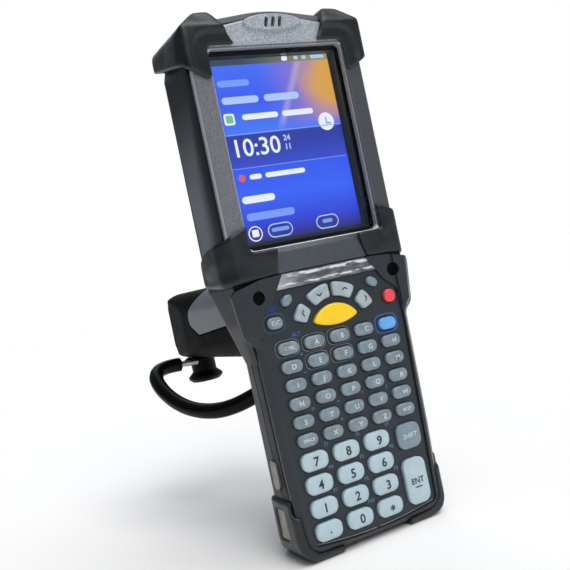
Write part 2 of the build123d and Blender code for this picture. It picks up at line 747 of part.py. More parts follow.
# ---------------------------------------------------------------- grip
def grip_form(inset, root):
    """Grip: section, plan and side view carried through each other, so that the butt has crisp ridges."""
    half = grip_half - inset
    height = grip_top_z - grip_foot_z - 2 * inset
    section = Pos(0, grip_z) * RectangleRounded(2 * half, height, grip_corner - inset)
    plan = both_sides((half + 2.0, root), (half + 2.0, 116.0 - inset / 2, 60.0),
                      (grip_half - 6.0 - inset / 2, grip_end_y - inset, 8.0 - inset))
    side_view = shape((root, grip_foot_z + inset), (grip_end_y - 14.0, grip_foot_z + inset, 14.0 - inset),
                      (grip_end_y - inset, grip_foot_z + 14.0, 16.0 - inset),
                      (grip_end_y - inset, grip_top_z - 14.0, 11.0),
                      (grip_end_y - 12.0, grip_top_z - inset, 8.0), (root, grip_top_z - inset))
    form = along_y(section, root, grip_end_y + 1)
    return form & along_z(plan, 0, FAR) & along_x(side_view, -FAR, FAR)


# Part of the grip's side that the sleeve leaves bare
patch = shape((0.0, grip_foot_z - 5), (sleeve_root_y, grip_foot_z - 5), (sleeve_root_y, 102.0),
              (106.0, 97.0, 7.0), (121.0, 104.0, 5.0), (116.0, 111.0, 6.0),
              (88.0, grip_top_z + 5), (0.0, grip_top_z + 5))
patch_form = along_x(patch, -FAR, FAR)
grip_outside = grip_form(0.0, grip_root_y)
grip_core = grip_form(sleeve_thickness, grip_root_y)
grip_hollow = grip_form(sleeve_thickness + grip_wall, grip_root_y + grip_wall)
post_axis = Pos(0, post_y, 0)
post_neck = post_axis * along_z(Circle(post_neck_radius), post_foot_z, grip_foot_z + 10.0)
post_spigot = post_axis * along_z(Circle(3.0), post_foot_z, grip_foot_z + 10.0)
trigger_slot = block(-trigger_width / 2 - trigger_gap, trigger_width / 2 + trigger_gap,
                     slot_front, slot_back, grip_z + 6.0, FAR)
trigger_pin = along_x(Pos(trigger_pin_y, trigger_pin_z) * Circle(trigger_pin_radius),
                      -grip_half + 2.6, grip_half - 2.6)
grip_screw_places = ((76.0, 110.0), (108.0, 105.0))
screw_shaft_end = -6.0


def round_bar_x(y, z, radius, left, right):
    return along_x(Pos(y, z) * Circle(radius), left, right)


def grip_shell():
    """Hard shell of the grip, both halves: core, side patches, hollow, bosses, slot and seats."""
    shell = grip_core + (grip_outside & patch_form)
    shell -= grip_hollow
    for y, z in grip_screw_places:
        shell += round_bar_x(y, z, boss_radius, -grip_half + 3.0, grip_half - 3.0)
        shell -= round_bar_x(y, z, screw_radius, screw_shaft_end - 1.0, FAR)
        shell -= round_bar_x(y, z, screw_well_radius, grip_half - 3.4, FAR)
    shell -= trigger_slot
    shell -= trigger_pin
    return shell - post_spigot


def half_of(solid, side):
    return solid & block(*sorted((0.0, side * FAR)), 0, FAR, 0, FAR)


shell_pair = grip_shell()
keep("grip_shell_left", half_of(shell_pair, -1))
keep("grip_shell_right", half_of(shell_pair, 1))
sleeve = grip_outside - grip_core - patch_form - post_neck
keep("grip_sleeve", sleeve)
keep("grip_screws", *[
    round_bar_x(y, z, screw_radius, screw_shaft_end, grip_half - 3.4)
    + round_bar_x(y, z, screw_head_radius, grip_half - 3.4, grip_half - 3.4 + screw_head)
    for y, z in grip_screw_places])

trigger_view = shape((31.5, 108.0), (31.5, 124.0, 3.0), (36.0, 130.5, 4.0), (50.0, 126.5, 30.0),
                     (61.0, 125.0, 2.5),
                     (61.0, 117.5, 2.0), (42.0, 115.0, 3.0), (41.5, 107.5, 2.5))
trigger = along_x(trigger_view, -trigger_width / 2, trigger_width / 2) - trigger_pin
keep("trigger", trigger)
keep("trigger_pin", trigger_pin)
hollow_half = grip_half - sleeve_thickness - grip_wall
switch_board = block(-hollow_half + 0.4, hollow_half - 0.4, switch_front, switch_back,
                     switch_z - board_thickness, switch_z)
keep("trigger_switch", switch_board + block(-4.0, 4.0, 50.0, 58.0, switch_z, switch_z + 6.0))
spring_view = shape((45.0, switch_z), (49.0, switch_z), (49.0, switch_z + 0.5), (46.0, switch_z + 0.5),
                    (45.5, 114.6), (45.0, 114.6))
keep("trigger_spring", along_x(spring_view, -3.0, 3.0))

# ---------------------------------------------------------------- strap
post = post_neck - grip_core + (post_spigot - post_axis * along_z(Circle(FAR), 0, 70))
flange_profile = shape((0.0, 0.0), (post_flange_radius - 2.0, 0.0), (post_flange_radius, 1.8),
                       (post_flange_radius, 3.2), (post_neck_radius, post_flange),
                       (post_neck_radius, post_flange + 3.0), (0.0, post_flange + 3.0))
flange = revolve(Plane.XZ * flange_profile, Axis.Z)
keep("strap_post", post + post_axis * Pos(0, 0, post_foot_z) * flange)

hitch = post_axis * Pos(0, 0, hitch_z) * Torus(post_neck_radius + hitch_radius, hitch_radius)
clasp = Plane(origin=strap_points[0], z_dir=strap_start * -1) * extrude(RectangleRounded(*clasp_size, 1.5),
                                                                       amount=clasp_length)
keep("strap_hitch", (hitch + clasp) - post_neck)
keep("wrist_strap", strap)

for name, piece in pieces.items():
    export_step(Pos(0, 0, -ground) * piece, f"parts/{name}.step")
print(len(pieces), "pieces")
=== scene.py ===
import json

import bmesh
import bpy
import numpy as np
from mathutils import Matrix, Vector


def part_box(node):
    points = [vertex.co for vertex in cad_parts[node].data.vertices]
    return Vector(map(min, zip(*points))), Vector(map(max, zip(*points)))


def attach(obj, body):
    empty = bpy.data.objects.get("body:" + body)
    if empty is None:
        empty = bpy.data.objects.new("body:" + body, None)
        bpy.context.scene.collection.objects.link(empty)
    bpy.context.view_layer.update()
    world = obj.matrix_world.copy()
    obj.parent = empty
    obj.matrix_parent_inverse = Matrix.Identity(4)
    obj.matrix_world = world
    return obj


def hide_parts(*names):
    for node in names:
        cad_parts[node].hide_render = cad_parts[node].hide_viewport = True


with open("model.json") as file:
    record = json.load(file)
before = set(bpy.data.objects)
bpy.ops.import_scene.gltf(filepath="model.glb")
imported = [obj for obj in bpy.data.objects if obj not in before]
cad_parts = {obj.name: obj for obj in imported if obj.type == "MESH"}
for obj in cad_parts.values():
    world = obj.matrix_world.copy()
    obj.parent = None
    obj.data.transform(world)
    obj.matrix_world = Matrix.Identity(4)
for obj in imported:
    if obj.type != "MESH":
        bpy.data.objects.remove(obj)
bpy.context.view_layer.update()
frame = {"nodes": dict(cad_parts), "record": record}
scene = bpy.context.scene
nodes = frame["nodes"]
MM = 0.001
GLASS_LIP = 2.5 * MM         # glass hidden under the bezel, each side


# ---------------------------------------------------------------- camera, light and floor
CAMERA_PLACE = Vector((-0.16411, -0.30117, 0.11555))
CAMERA_LOOK = Vector((0.455, 0.891, -0.009))
CAMERA_UP = Vector((0.188, -0.085, 0.979))
CAMERA_LENS = 49.27          # millimetres on a 36 mm sensor
LIT_COLOUR = (0.225, 0.262, 0.30)   # the surround's light on the object
LEFT_SHARE = 0.35            # surround's light from straight left and straight right
RIGHT_SHARE = 1.5
FLOOR_REACH = 6.0            # metres from the middle to each side
FLOOR_COLOUR = (0.955, 0.93, 0.91, 1.0)
SUNS = (                     # name, direction it shines from, width in radians, power
    ("sky_light", (0.15, -0.45, 1.2), 0.9, 1.9),
    ("front_light", (-0.12, -1.0, 0.8), 0.6, 1.0),
    ("back_light", (0.45, 1.0, 0.8), 0.6, 0.4),
)


def turned(look, up):
    """Rotation whose -Z looks along look and whose +Y is the part of up that is square to it."""
    back = -look.normalized()
    right = up.cross(back).normalized()
    return Matrix((right, back.cross(right), back)).transposed()


def camera():
    """Camera at the front, to the left and at half the object's height, rolled a little."""
    data = bpy.data.cameras.new("camera")
    data.lens = CAMERA_LENS
    data.sensor_width = 36.0
    data.clip_start = 10 * MM
    eye = bpy.data.objects.new("camera", data)
    scene.collection.objects.link(eye)
    eye.matrix_world = Matrix.Translation(CAMERA_PLACE) @ turned(CAMERA_LOOK, CAMERA_UP).to_4x4()
    scene.camera = eye


def surround():
    """Surround that is white where it is looked at, and lights the object with LIT_COLOUR, less from the
    left than from the right."""
    world = bpy.data.worlds.new("surround")
    scene.world = world
    world.use_nodes = True
    tree = world.node_tree
    path = tree.nodes.new("ShaderNodeLightPath")
    colour = tree.nodes.new("ShaderNodeMix")
    colour.data_type = "RGBA"
    tree.links.new(path.outputs["Is Camera Ray"], colour.inputs["Factor"])
    colour.inputs[6].default_value = (*LIT_COLOUR, 1.0)
    colour.inputs[7].default_value = (1.0, 1.0, 1.0, 1.0)
    tree.links.new(colour.outputs[2], tree.nodes["Background"].inputs["Color"])
    towards = tree.nodes.new("ShaderNodeSeparateXYZ")
    tree.links.new(tree.nodes.new("ShaderNodeTexCoord").outputs["Generated"], towards.inputs[0])
    share = tree.nodes.new("ShaderNodeMapRange")
    tree.links.new(towards.outputs["X"], share.inputs["Value"])
    limits = {"From Min": -1.0, "From Max": 1.0, "To Min": LEFT_SHARE, "To Max": RIGHT_SHARE}
    for name, number in limits.items():
        share.inputs[name].default_value = number
    strength = tree.nodes.new("ShaderNodeMapRange")
    tree.links.new(path.outputs["Is Camera Ray"], strength.inputs["Value"])
    tree.links.new(share.outputs[0], strength.inputs["To Min"])
    strength.inputs["To Max"].default_value = 1.0
    tree.links.new(strength.outputs[0], tree.nodes["Background"].inputs["Strength"])


def wide_sun(name, towards, width, power):
    """Even light from one side of the sky, width radians across, with soft shadows."""
    data = bpy.data.lights.new(name, "SUN")
    data.angle = width
    data.energy = power
    lamp = bpy.data.objects.new(name, data)
    scene.collection.objects.link(lamp)
    lamp.matrix_world = turned(-Vector(towards), Vector((0, 0, 1))).to_4x4()


def studio():
    """Plain pale floor, a white surround as bright as it, and three wide suns."""
    surround()
    mesh = bpy.data.meshes.new("floor")
    corners = [(x * FLOOR_REACH, y * FLOOR_REACH, 0) for x, y in ((-1, -1), (1, -1), (1, 1), (-1, 1))]
    mesh.from_pydata(corners, [], [(0, 1, 2, 3)])
    floor = bpy.data.objects.new("floor", mesh)
    scene.collection.objects.link(floor)
    paint = bpy.data.materials.new("floor_paint")
    paint.use_nodes = True
    shader = paint.node_tree.nodes["Principled BSDF"]
    shader.inputs["Base Color"].default_value = FLOOR_COLOUR
    shader.inputs["Roughness"].default_value = 0.9
    shader.inputs["Specular IOR Level"].default_value = 0.0
    mesh.materials.append(paint)
    for sun in SUNS:
        wide_sun(*sun)


camera()
studio()
scene.view_settings.view_transform = "Standard"


# ---------------------------------------------------------------- materials
TONE = 14 * MM               # blotches of slightly different tone in moulded plastic
FLECK = 0.35 * MM            # its spark-eroded grain
EDGE = 0.35 * MM             # its rounded edges
NECK_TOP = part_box("keypad_frame")[1].z
NECK_FOOT = NECK_TOP - 26 * MM
SEAM = 11.5 * MM             # y of the dark band near the head's back


class Finish:
    """One procedural material: a Principled shader fed by small node recipes on Object coordinates."""

    def __init__(self, name, rough, metal=0.0, coat=0.0):
        self.material = bpy.data.materials.new(name)
        self.material.use_nodes = True
        self.tree = self.material.node_tree
        self.shader = self.tree.nodes["Principled BSDF"]
        self.shader.inputs["Roughness"].default_value = rough
        self.shader.inputs["Metallic"].default_value = metal
        self.shader.inputs["Coat Weight"].default_value = coat
        self.where = self.node("ShaderNodeTexCoord").outputs["Object"]
        self.normal = None

    def node(self, kind, **values):
        """New node. A name with an underscore in front is an input, linked to a socket or set to a value;
        any other is a setting of the node."""
        made = self.tree.nodes.new(kind)
        for key, value in values.items():
            if key.startswith("_"):
                self.put(made.inputs[key[1:].replace("_", " ")], value)
            else:
                setattr(made, key, value)
        return made

    def put(self, socket, value):
        """Links a socket to the input, or sets the input to a value."""
        if isinstance(value, bpy.types.NodeSocket):
            self.tree.links.new(value, socket)
        elif isinstance(value, tuple) and len(value) == 3 and socket.type == "RGBA":
            socket.default_value = (*value, 1.0)
        else:
            socket.default_value = value

    def maths(self, operation, first, second=0.0, clamp=False):
        """One operation on one or two numbers."""
        made = self.node("ShaderNodeMath", operation=operation, use_clamp=clamp)
        self.put(made.inputs[0], first)
        self.put(made.inputs[1], second)
        return made.outputs[0]

    def mix(self, factor, first, second):
        """Colour between first and second, by the factor."""
        made = self.node("ShaderNodeMix", data_type="RGBA")
        self.put(made.inputs["Factor"], factor)
        self.put(made.inputs[6], first)
        self.put(made.inputs[7], second)
        return made.outputs[2]

    def spread(self, value, low, high, out_low=0.0, out_high=1.0):
        """Smooth step from low to high, scaled to out_low to out_high."""
        made = self.node("ShaderNodeMapRange", interpolation_type="SMOOTHSTEP")
        for index, number in enumerate((value, low, high, out_low, out_high)):
            self.put(made.inputs[index], number)
        return made.outputs[0]

    def noise(self, size, detail=3.0, rough=0.55, where=None):
        """Noise whose blotches are about size metres across."""
        made = self.node("ShaderNodeTexNoise", _Vector=where or self.where, _Scale=1.0 / size,
                         _Detail=detail, _Roughness=rough)
        return made.outputs[0]

    def cells(self, size, feature="F1"):
        """Distance to the middle, or to the edge, of cells about size metres across."""
        made = self.node("ShaderNodeTexVoronoi", feature=feature, _Vector=self.where, _Scale=1.0 / size)
        return made.outputs["Distance"]

    def soften(self, radius):
        """Rounds the look of edges, and gives how far each point is from being flat, from 0 to 1."""
        bevel = self.node("ShaderNodeBevel", samples=4, _Radius=radius)
        flat = self.node("ShaderNodeNewGeometry").outputs["Normal"]
        product = self.node("ShaderNodeVectorMath", operation="DOT_PRODUCT")
        self.put(product.inputs[0], bevel.outputs[0])
        self.put(product.inputs[1], flat)
        self.normal = bevel.outputs[0]
        return self.maths("SUBTRACT", 1.0, product.outputs["Value"], clamp=True)

    def bump(self, height, depth):
        """Relief of the height's pattern, depth metres deep, over the reliefs made before it."""
        made = self.node("ShaderNodeBump", _Strength=1.0, _Distance=depth, _Height=height)
        if self.normal is not None:
            self.put(made.inputs["Normal"], self.normal)
        self.normal = made.outputs[0]

    def done(self, colour, rough=None):
        """Material with its colour, gloss pattern and relief joined to the shader."""
        self.put(self.shader.inputs["Base Color"], colour)
        if rough is not None:
            self.put(self.shader.inputs["Roughness"], rough)
        if self.normal is not None:
            self.put(self.shader.inputs["Normal"], self.normal)
        return self.material


def scaled(colour, factor):
    """Lighter or darker colour, at most 1 in each channel."""
    return tuple(min(channel * factor, 1.0) for channel in colour)


def grained(made, colour, fleck_share):
    """A colour with slow tone changes and fine flecks; the tone and the fleck noise are given as well."""
    tone = made.noise(TONE, 2.0)
    fleck = made.noise(FLECK, 2.0, 0.7)
    body = made.mix(made.spread(tone, 0.35, 0.65), scaled(colour, 0.95), scaled(colour, 1.05))
    body = made.mix(made.spread(fleck, 0.45, 0.75, 0.0, fleck_share), body, scaled(colour, 1.6))
    return body, tone, fleck


def moulded(name, colour, rough, gloss=0.5, wear=0.25):
    """Moulded plastic: fine spark-eroded grain, slow tone changes, and edges rubbed a little lighter."""
    made = Finish(name, rough)
    made.shader.inputs["Specular IOR Level"].default_value = gloss
    edge = made.soften(EDGE)
    body, tone, fleck = grained(made, colour, 0.35)
    patches = made.spread(made.noise(3 * MM), 0.4, 0.7, 0.3, 1.0)
    worn = made.maths("MULTIPLY", made.spread(edge, 0.02, 0.22), patches)
    body = made.mix(made.maths("MULTIPLY", worn, wear), body, scaled(colour, 2.6))
    made.bump(fleck, 0.02 * MM)
    return made.done(body, made.spread(tone, 0.3, 0.7, rough - 0.03, rough + 0.04))


def housing(name, colour, black):
    """Moulded shell: painted shade darkens its sides towards the bezel and the head's top and makes its back
    darker than its sides. Its sides also have a dark band near the back, are darker below the neck and black
    over it."""
    made = Finish(name, 0.4)
    made.shader.inputs["Specular IOR Level"].default_value = 0.14
    edge = made.soften(EDGE)
    parts = made.node("ShaderNodeSeparateXYZ", _Vector=made.where)
    body, tone, fleck = grained(made, colour, 0.3)
    body = made.mix(made.spread(edge, 0.02, 0.25, 0.0, 0.2), body, scaled(colour, 2.4))
    # painted shade: the sides darken towards the bezel and towards the head's top
    painted_shade_near_bezel = made.spread(parts.outputs["Y"], -13 * MM, 1 * MM, 0.94, 0.0)
    high = made.spread(parts.outputs["Z"], 150 * MM, 200 * MM, 0.0, 0.88)
    low = made.spread(parts.outputs["Z"], NECK_TOP, NECK_TOP + 1.0 * MM, 0.62, 0.0)
    aside = made.spread(made.maths("ABSOLUTE", parts.outputs["X"]), 28 * MM, 30 * MM)
    over = made.spread(parts.outputs["Z"], NECK_FOOT, NECK_FOOT + 12 * MM)
    under = made.spread(parts.outputs["Z"], NECK_TOP, NECK_TOP + 1.0 * MM, 1.0, 0.0)
    neck = made.maths("MULTIPLY", made.maths("MULTIPLY", over, under), 0.95)
    off_seam = made.maths("ABSOLUTE", made.maths("SUBTRACT", parts.outputs["Y"], SEAM))
    band = made.spread(off_seam, 1.2 * MM, 2.6 * MM, 0.85, 0.0)
    band = made.maths("MULTIPLY", band, made.maths("SUBTRACT", 1.0, under))
    # what darkens the sides: painted shade towards the bezel and the top, with the dark band, the darker
    # lower body and the black neck
    dark = painted_shade_near_bezel
    for share in (high, low, neck, band):
        dark = made.maths("MAXIMUM", dark, share)
    # painted shade: the back, which turns away from the light, darker than the sides
    back = made.spread(parts.outputs["Y"], 12 * MM, 16 * MM, 0.0, 0.55)
    dark = made.maths("MAXIMUM", made.maths("MULTIPLY", dark, aside), back)
    body = made.mix(dark, body, black)
    made.bump(fleck, 0.02 * MM)
    return made.done(body, made.spread(tone, 0.3, 0.7, 0.36, 0.43))


def rubber(name, colour, rough):
    """Soft rubber: a slight sheen, dusty blotches, tiny pits, soft waves, and edges painted lighter, partly
    as rubbed wear and partly as a painted highlight along the rounded ridges.
    """
    made = Finish(name, rough)
    made.shader.inputs["Sheen Weight"].default_value = 0.015
    made.shader.inputs["Sheen Roughness"].default_value = 0.6
    edge = made.soften(1.6 * MM)
    dust = made.noise(9 * MM, 4.0, 0.6)
    body = made.mix(made.spread(dust, 0.42, 0.68), colour, scaled(colour, 1.3))
    # edges lighter: partly rubbed wear, partly a painted highlight along the rounded ridges
    body = made.mix(made.maths("MULTIPLY", made.spread(edge, 0.004, 0.12), 0.5), body, scaled(colour, 5.0))
    pits = made.cells(0.55 * MM)
    made.bump(pits, 0.010 * MM)
    made.bump(made.noise(13 * MM, 1.0), 1.1 * MM)
    return made.done(body, made.spread(dust, 0.3, 0.7, rough - 0.08, rough + 0.07))


def speckled(name, colour):
    """Metallic paint: fine light and dark flecks over grey, paler over the display and darkened beside it as
    painted shade, most on the right; edges a little lighter as wear and a painted highlight; a thin bright
    line at the window's opening as a painted highlight, a dark lip over it in painted shade and a painted
    highlight along the left edge."""
    made = Finish(name, 0.42, metal=0.3)
    edge = made.soften(0.5 * MM)
    parts = made.node("ShaderNodeSeparateXYZ", _Vector=made.where)
    salt = made.noise(0.42 * MM, 2.0, 0.8)
    flakes = made.cells(0.6 * MM)
    body = made.mix(made.spread(salt, 0.36, 0.64), scaled(colour, 0.58), scaled(colour, 1.35))
    body = made.mix(made.spread(flakes, 0.0, 0.28, 0.7, 0.0), body, scaled(colour, 2.0))
    body = made.mix(made.spread(made.noise(22 * MM, 2.0), 0.35, 0.65, 0.0, 0.3), body, scaled(colour, 0.7))
    low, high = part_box("display_window")
    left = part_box("display_bezel")[0].x
    above = made.spread(parts.outputs["Z"], high.z - 12 * MM, high.z + 1 * MM)
    below = made.maths("SUBTRACT", 1.0, above)
    # painted shade: the bezel beside the display darkened, most on the right
    shade = made.maths("MULTIPLY", made.spread(parts.outputs["X"], -20 * MM, 36 * MM, 0.68, 0.96), below)
    body = made.mix(shade, body, scaled(colour, 0.13))
    # edges a little lighter: wear and a painted highlight
    body = made.mix(made.spread(edge, 0.03, 0.25, 0.0, 0.5), body, scaled(colour, 1.2))
    aside = made.maths("SUBTRACT", made.maths("ABSOLUTE", parts.outputs["X"]), high.x - GLASS_LIP)
    beyond = made.maths("SUBTRACT", parts.outputs["Z"], (low.z + high.z) / 2)
    beyond = made.maths("SUBTRACT", made.maths("ABSOLUTE", beyond), (high.z - low.z) / 2 - GLASS_LIP)
    away = made.maths("MAXIMUM", aside, beyond)
    # painted shade: a dark band along the top of the window's opening
    painted_lip_shade = made.spread(away, 0.9 * MM, 1.2 * MM, 0.85, 0.0)
    body = made.mix(made.maths("MULTIPLY", painted_lip_shade, above), body, scaled(colour, 0.12))
    # painted highlight: a thin bright line round the window's opening, brightest near its foot
    line = made.spread(away, 0.22 * MM, 0.42 * MM, 1.0, 0.0)
    glint = made.spread(parts.outputs["Z"], low.z + 3 * MM, low.z + 5 * MM, 0.9, 0.32)
    body = made.mix(made.maths("MULTIPLY", line, glint), body, scaled(colour, 2.1))
    # painted highlight along the bezel's left edge
    painted_left_edge_highlight = made.spread(parts.outputs["X"], left + 0.2 * MM, left + 0.6 * MM, 0.6, 0.0)
    body = made.mix(made.maths("MULTIPLY", painted_left_edge_highlight, below), body, scaled(colour, 1.5))
    made.bump(salt, 0.012 * MM)
    return made.done(body, made.spread(salt, 0.3, 0.7, 0.36, 0.50))


def bare_metal(name, colour, rough=0.3):
    """Plated metal: fine lines along the length, with darker stains."""
    made = Finish(name, rough, metal=0.9)
    made.soften(0.3 * MM)
    stretch = made.node("ShaderNodeMapping", _Vector=made.where, _Scale=(1.0, 1.0, 0.05)).outputs[0]
    lines = made.noise(0.25 * MM, 3.0, where=stretch)
    stain = made.noise(4 * MM, 4.0)
    body = made.mix(made.spread(stain, 0.4, 0.7, 0.0, 0.5), colour, scaled(colour, 0.65))
    body = made.mix(made.spread(lines, 0.35, 0.65, 0.0, 0.25), body, scaled(colour, 1.4))
    made.bump(lines, 0.008 * MM)
    return made.done(body, made.spread(stain, 0.3, 0.7, rough, rough + 0.15))


def key_plastic(name, colour, rough, cloud, rim=None, rim_share=0.35):
    """Translucent keycap: milky clouding, a rim of its own or a lighter one, thin gloss."""
    made = Finish(name, rough, coat=0.25)
    made.shader.inputs["Coat Roughness"].default_value = 0.18
    edge = made.soften(1.3 * MM)
    made.shader.inputs["Subsurface Weight"].default_value = 0.12
    made.shader.inputs["Subsurface Scale"].default_value = 0.8 * MM
    milk = made.noise(3.5 * MM, 3.0)
    body = made.mix(made.spread(milk, 0.35, 0.7), scaled(colour, 1.0 - cloud), scaled(colour, 1.0 + cloud))
    body = made.mix(made.spread(edge, 0.015, 0.2, 0.0, rim_share), body, rim or scaled(colour, 1.7))
    made.bump(made.noise(0.6 * MM, 2.0), 0.01 * MM)
    return made.done(body)


def printed_film(name, colour):
    """Printed film over the keypad: even dark slate with a satin skin and faint handling marks."""
    made = Finish(name, 0.4, coat=0.1)
    made.soften(0.25 * MM)
    marks = made.noise(11 * MM, 5.0, 0.65)
    body = made.mix(made.spread(marks, 0.4, 0.7), colour, scaled(colour, 1.3))
    made.bump(made.noise(0.3 * MM, 2.0), 0.006 * MM)
    return made.done(body, made.spread(marks, 0.35, 0.7, 0.33, 0.5))


def clear(name, tint):
    """Clear moulding or glass, with faint wiping marks in its gloss."""
    rough = 0.02
    made = Finish(name, rough)
    made.shader.inputs["Transmission Weight"].default_value = 1.0
    made.shader.inputs["IOR"].default_value = 1.45
    smear = made.noise(12 * MM, 4.0)
    return made.done(tint, made.spread(smear, 0.45, 0.75, rough, rough + 0.05))


def circuit(name):
    """Circuit board: green resist with copper traces under it."""
    made = Finish(name, 0.35)
    traces = made.spread(made.cells(3 * MM, "DISTANCE_TO_EDGE"), 0.02, 0.06)
    body = made.mix(traces, (0.10, 0.22, 0.06), (0.01, 0.10, 0.035))
    made.bump(traces, 0.03 * MM)
    return made.done(body)


def streaked(name, light, dark):
    """Clear lens over bright metal: two broken bright lines along x, near its long sides, over grey haze."""
    made = Finish(name, 0.12, metal=0.2, coat=0.5)
    low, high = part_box("light_bar")
    parts = made.node("ShaderNodeSeparateXYZ", _Vector=made.where)
    up = made.maths("DIVIDE", made.maths("SUBTRACT", parts.outputs["Z"], low.z), high.z - low.z)
    up = made.maths("ADD", up, made.maths("MULTIPLY", made.noise(5 * MM, 1.0), 0.25))
    stretch = made.node("ShaderNodeMapping", _Vector=made.where, _Scale=(0.3, 1.0, 1.0)).outputs[0]
    breaks = made.spread(made.noise(2.4 * MM, 2.0, 0.6, stretch), 0.40, 0.56)
    haze = made.noise(1.6 * MM, 2.0, 0.5, stretch)
    body = made.mix(made.spread(haze, 0.35, 0.7), dark, scaled(dark, 2.4))
    lit_end = made.spread(parts.outputs["X"], low.x, low.x + 15 * MM, 0.45, 0.0)
    body = made.mix(lit_end, body, light)
    for middle, half in ((0.36, 0.09), (0.94, 0.13)):
        away = made.maths("ABSOLUTE", made.maths("SUBTRACT", up, middle))
        line = made.maths("MULTIPLY", made.spread(away, half * 0.5, half, 1.0, 0.0), breaks)
        body = made.mix(line, body, light)
    made.bump(haze, 0.03 * MM)
    return made.done(body)


def glowing(name, colour):
    """Lit picture element, with the display's fine dot grain."""
    made = Finish(name, 0.35)
    made.shader.inputs["Emission Strength"].default_value = 1.0
    grain = made.spread(made.noise(0.35 * MM, 1.0), 0.3, 0.7)
    made.put(made.shader.inputs["Emission Color"], made.mix(grain, scaled(colour, 0.94), colour))
    return made.done((0.0, 0.0, 0.0))


FINISH = {
    "grey_metallic": speckled("grey_metallic", (0.41, 0.435, 0.47)),
    "plate_silver": bare_metal("plate_silver", (0.105, 0.115, 0.128), 0.42),
    "glass_window": clear("glass_window", (1.0, 1.0, 1.0)),
    "rubber_black": rubber("rubber_black", (0.0045, 0.0058, 0.0075), 0.34),
    "black_plastic": moulded("black_plastic", (0.002, 0.0025, 0.003), 0.4, 0.10),
    "housing_grey": housing("housing_grey", (0.148, 0.160, 0.177), (0.0020, 0.0026, 0.0034)),
    "frame_grey": moulded("frame_grey", (0.019, 0.023, 0.029), 0.34, 0.4),
    "overlay_dark": printed_film("overlay_dark", (0.0050, 0.0115, 0.0180)),
    "battery_case": moulded("battery_case", (0.011, 0.013, 0.017), 0.45, 0.4),
    "grip_grey": moulded("grip_grey", (0.150, 0.162, 0.185), 0.4, wear=0.1),
    "steel": bare_metal("steel", (0.42, 0.42, 0.43)),
    "metal_beige": bare_metal("metal_beige", (0.29, 0.285, 0.265), 0.4),
    "key_yellow": key_plastic("key_yellow", (0.95, 0.60, 0.002), 0.35, 0.02),
    "key_red": key_plastic("key_red", (0.75, 0.06, 0.065), 0.3, 0.12),
    "key_blue": key_plastic("key_blue", (0.12, 0.38, 0.82), 0.3, 0.06),
    "key_light": key_plastic("key_light", (0.42, 0.53, 0.58), 0.3, 0.04, (0.22, 0.58, 0.65), 0.8),
    "key_silver": key_plastic("key_silver", (0.37, 0.43, 0.46), 0.28, 0.10),
    "key_grey": key_plastic("key_grey", (0.18, 0.25, 0.30), 0.32, 0.08),
    "key_letter": key_plastic("key_letter", (0.195, 0.245, 0.28), 0.3, 0.16, rim_share=0.7),
    "clear_lens": streaked("clear_lens", (0.80, 0.81, 0.83), (0.085, 0.088, 0.092)),
    # near black: black-oxide screws, also painted shade for their deep wells
    "steel_black": bare_metal("steel_black", (0.003, 0.003, 0.003), 0.6),
    "scan_glass": clear("scan_glass", (0.9, 0.35, 0.35)),
    "lcd_screen": moulded("lcd_screen", (0.004, 0.004, 0.005), 0.3),
    "pcb_green": circuit("pcb_green"),
    "strap_black": moulded("strap_black", (0.0010, 0.0014, 0.0018), 0.32, 0.10, 0.1),
    "sleeve_black": moulded("sleeve_black", (0.0022, 0.0028, 0.0035), 0.6, 0.05, 0.12),
}


def slot_of(node):
    """Material slot that the record gives a node."""
    for part in frame["record"]["subparts"]:
        if part["node"] == node:
            return part["material_slot"]
    return None


for name, piece in nodes.items():
    material = FINISH[slot_of(name)]
    for slot in piece.material_slots:
        slot.material = material


# ---------------------------------------------------------------- mesh helpers
WELD = 0.001 * MM            # corners closer than this are one


def new_piece(name, verts, faces, material, body, smooth=True):
    """Mesh object at the origin that rides on a CAD body."""
    mesh = bpy.data.meshes.new(name)
    mesh.from_pydata(np.asarray(verts).tolist(), [], [list(map(int, face)) for face in faces])
    mesh.materials.append(material)
    mesh.shade_smooth() if smooth else mesh.shade_flat()
    piece = bpy.data.objects.new(name, mesh)
    scene.collection.objects.link(piece)
    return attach(piece, body)


def points_of(mesh):
    """Places of a mesh's points, one row each."""
    flat = np.empty(len(mesh.vertices) * 3, np.float32)
    mesh.vertices.foreach_get("co", flat)
    return flat.reshape(-1, 3).astype(float)


def set_points(mesh, points):
    """Moves a mesh's points to the given places."""
    mesh.vertices.foreach_set("co", np.ascontiguousarray(points, np.float32).ravel())
    mesh.update()


def evaluated(piece):
    """Mesh of a piece with its modifiers applied."""
    view = bpy.context.evaluated_depsgraph_get()
    return bpy.data.meshes.new_from_object(piece.evaluated_get(view))


def body_of(node):
    """Moving body, or the base, that a node belongs to."""
    for body, members in frame["record"]["behaviour"]["bodies"].items():
        if node in members:
            return body
    return None


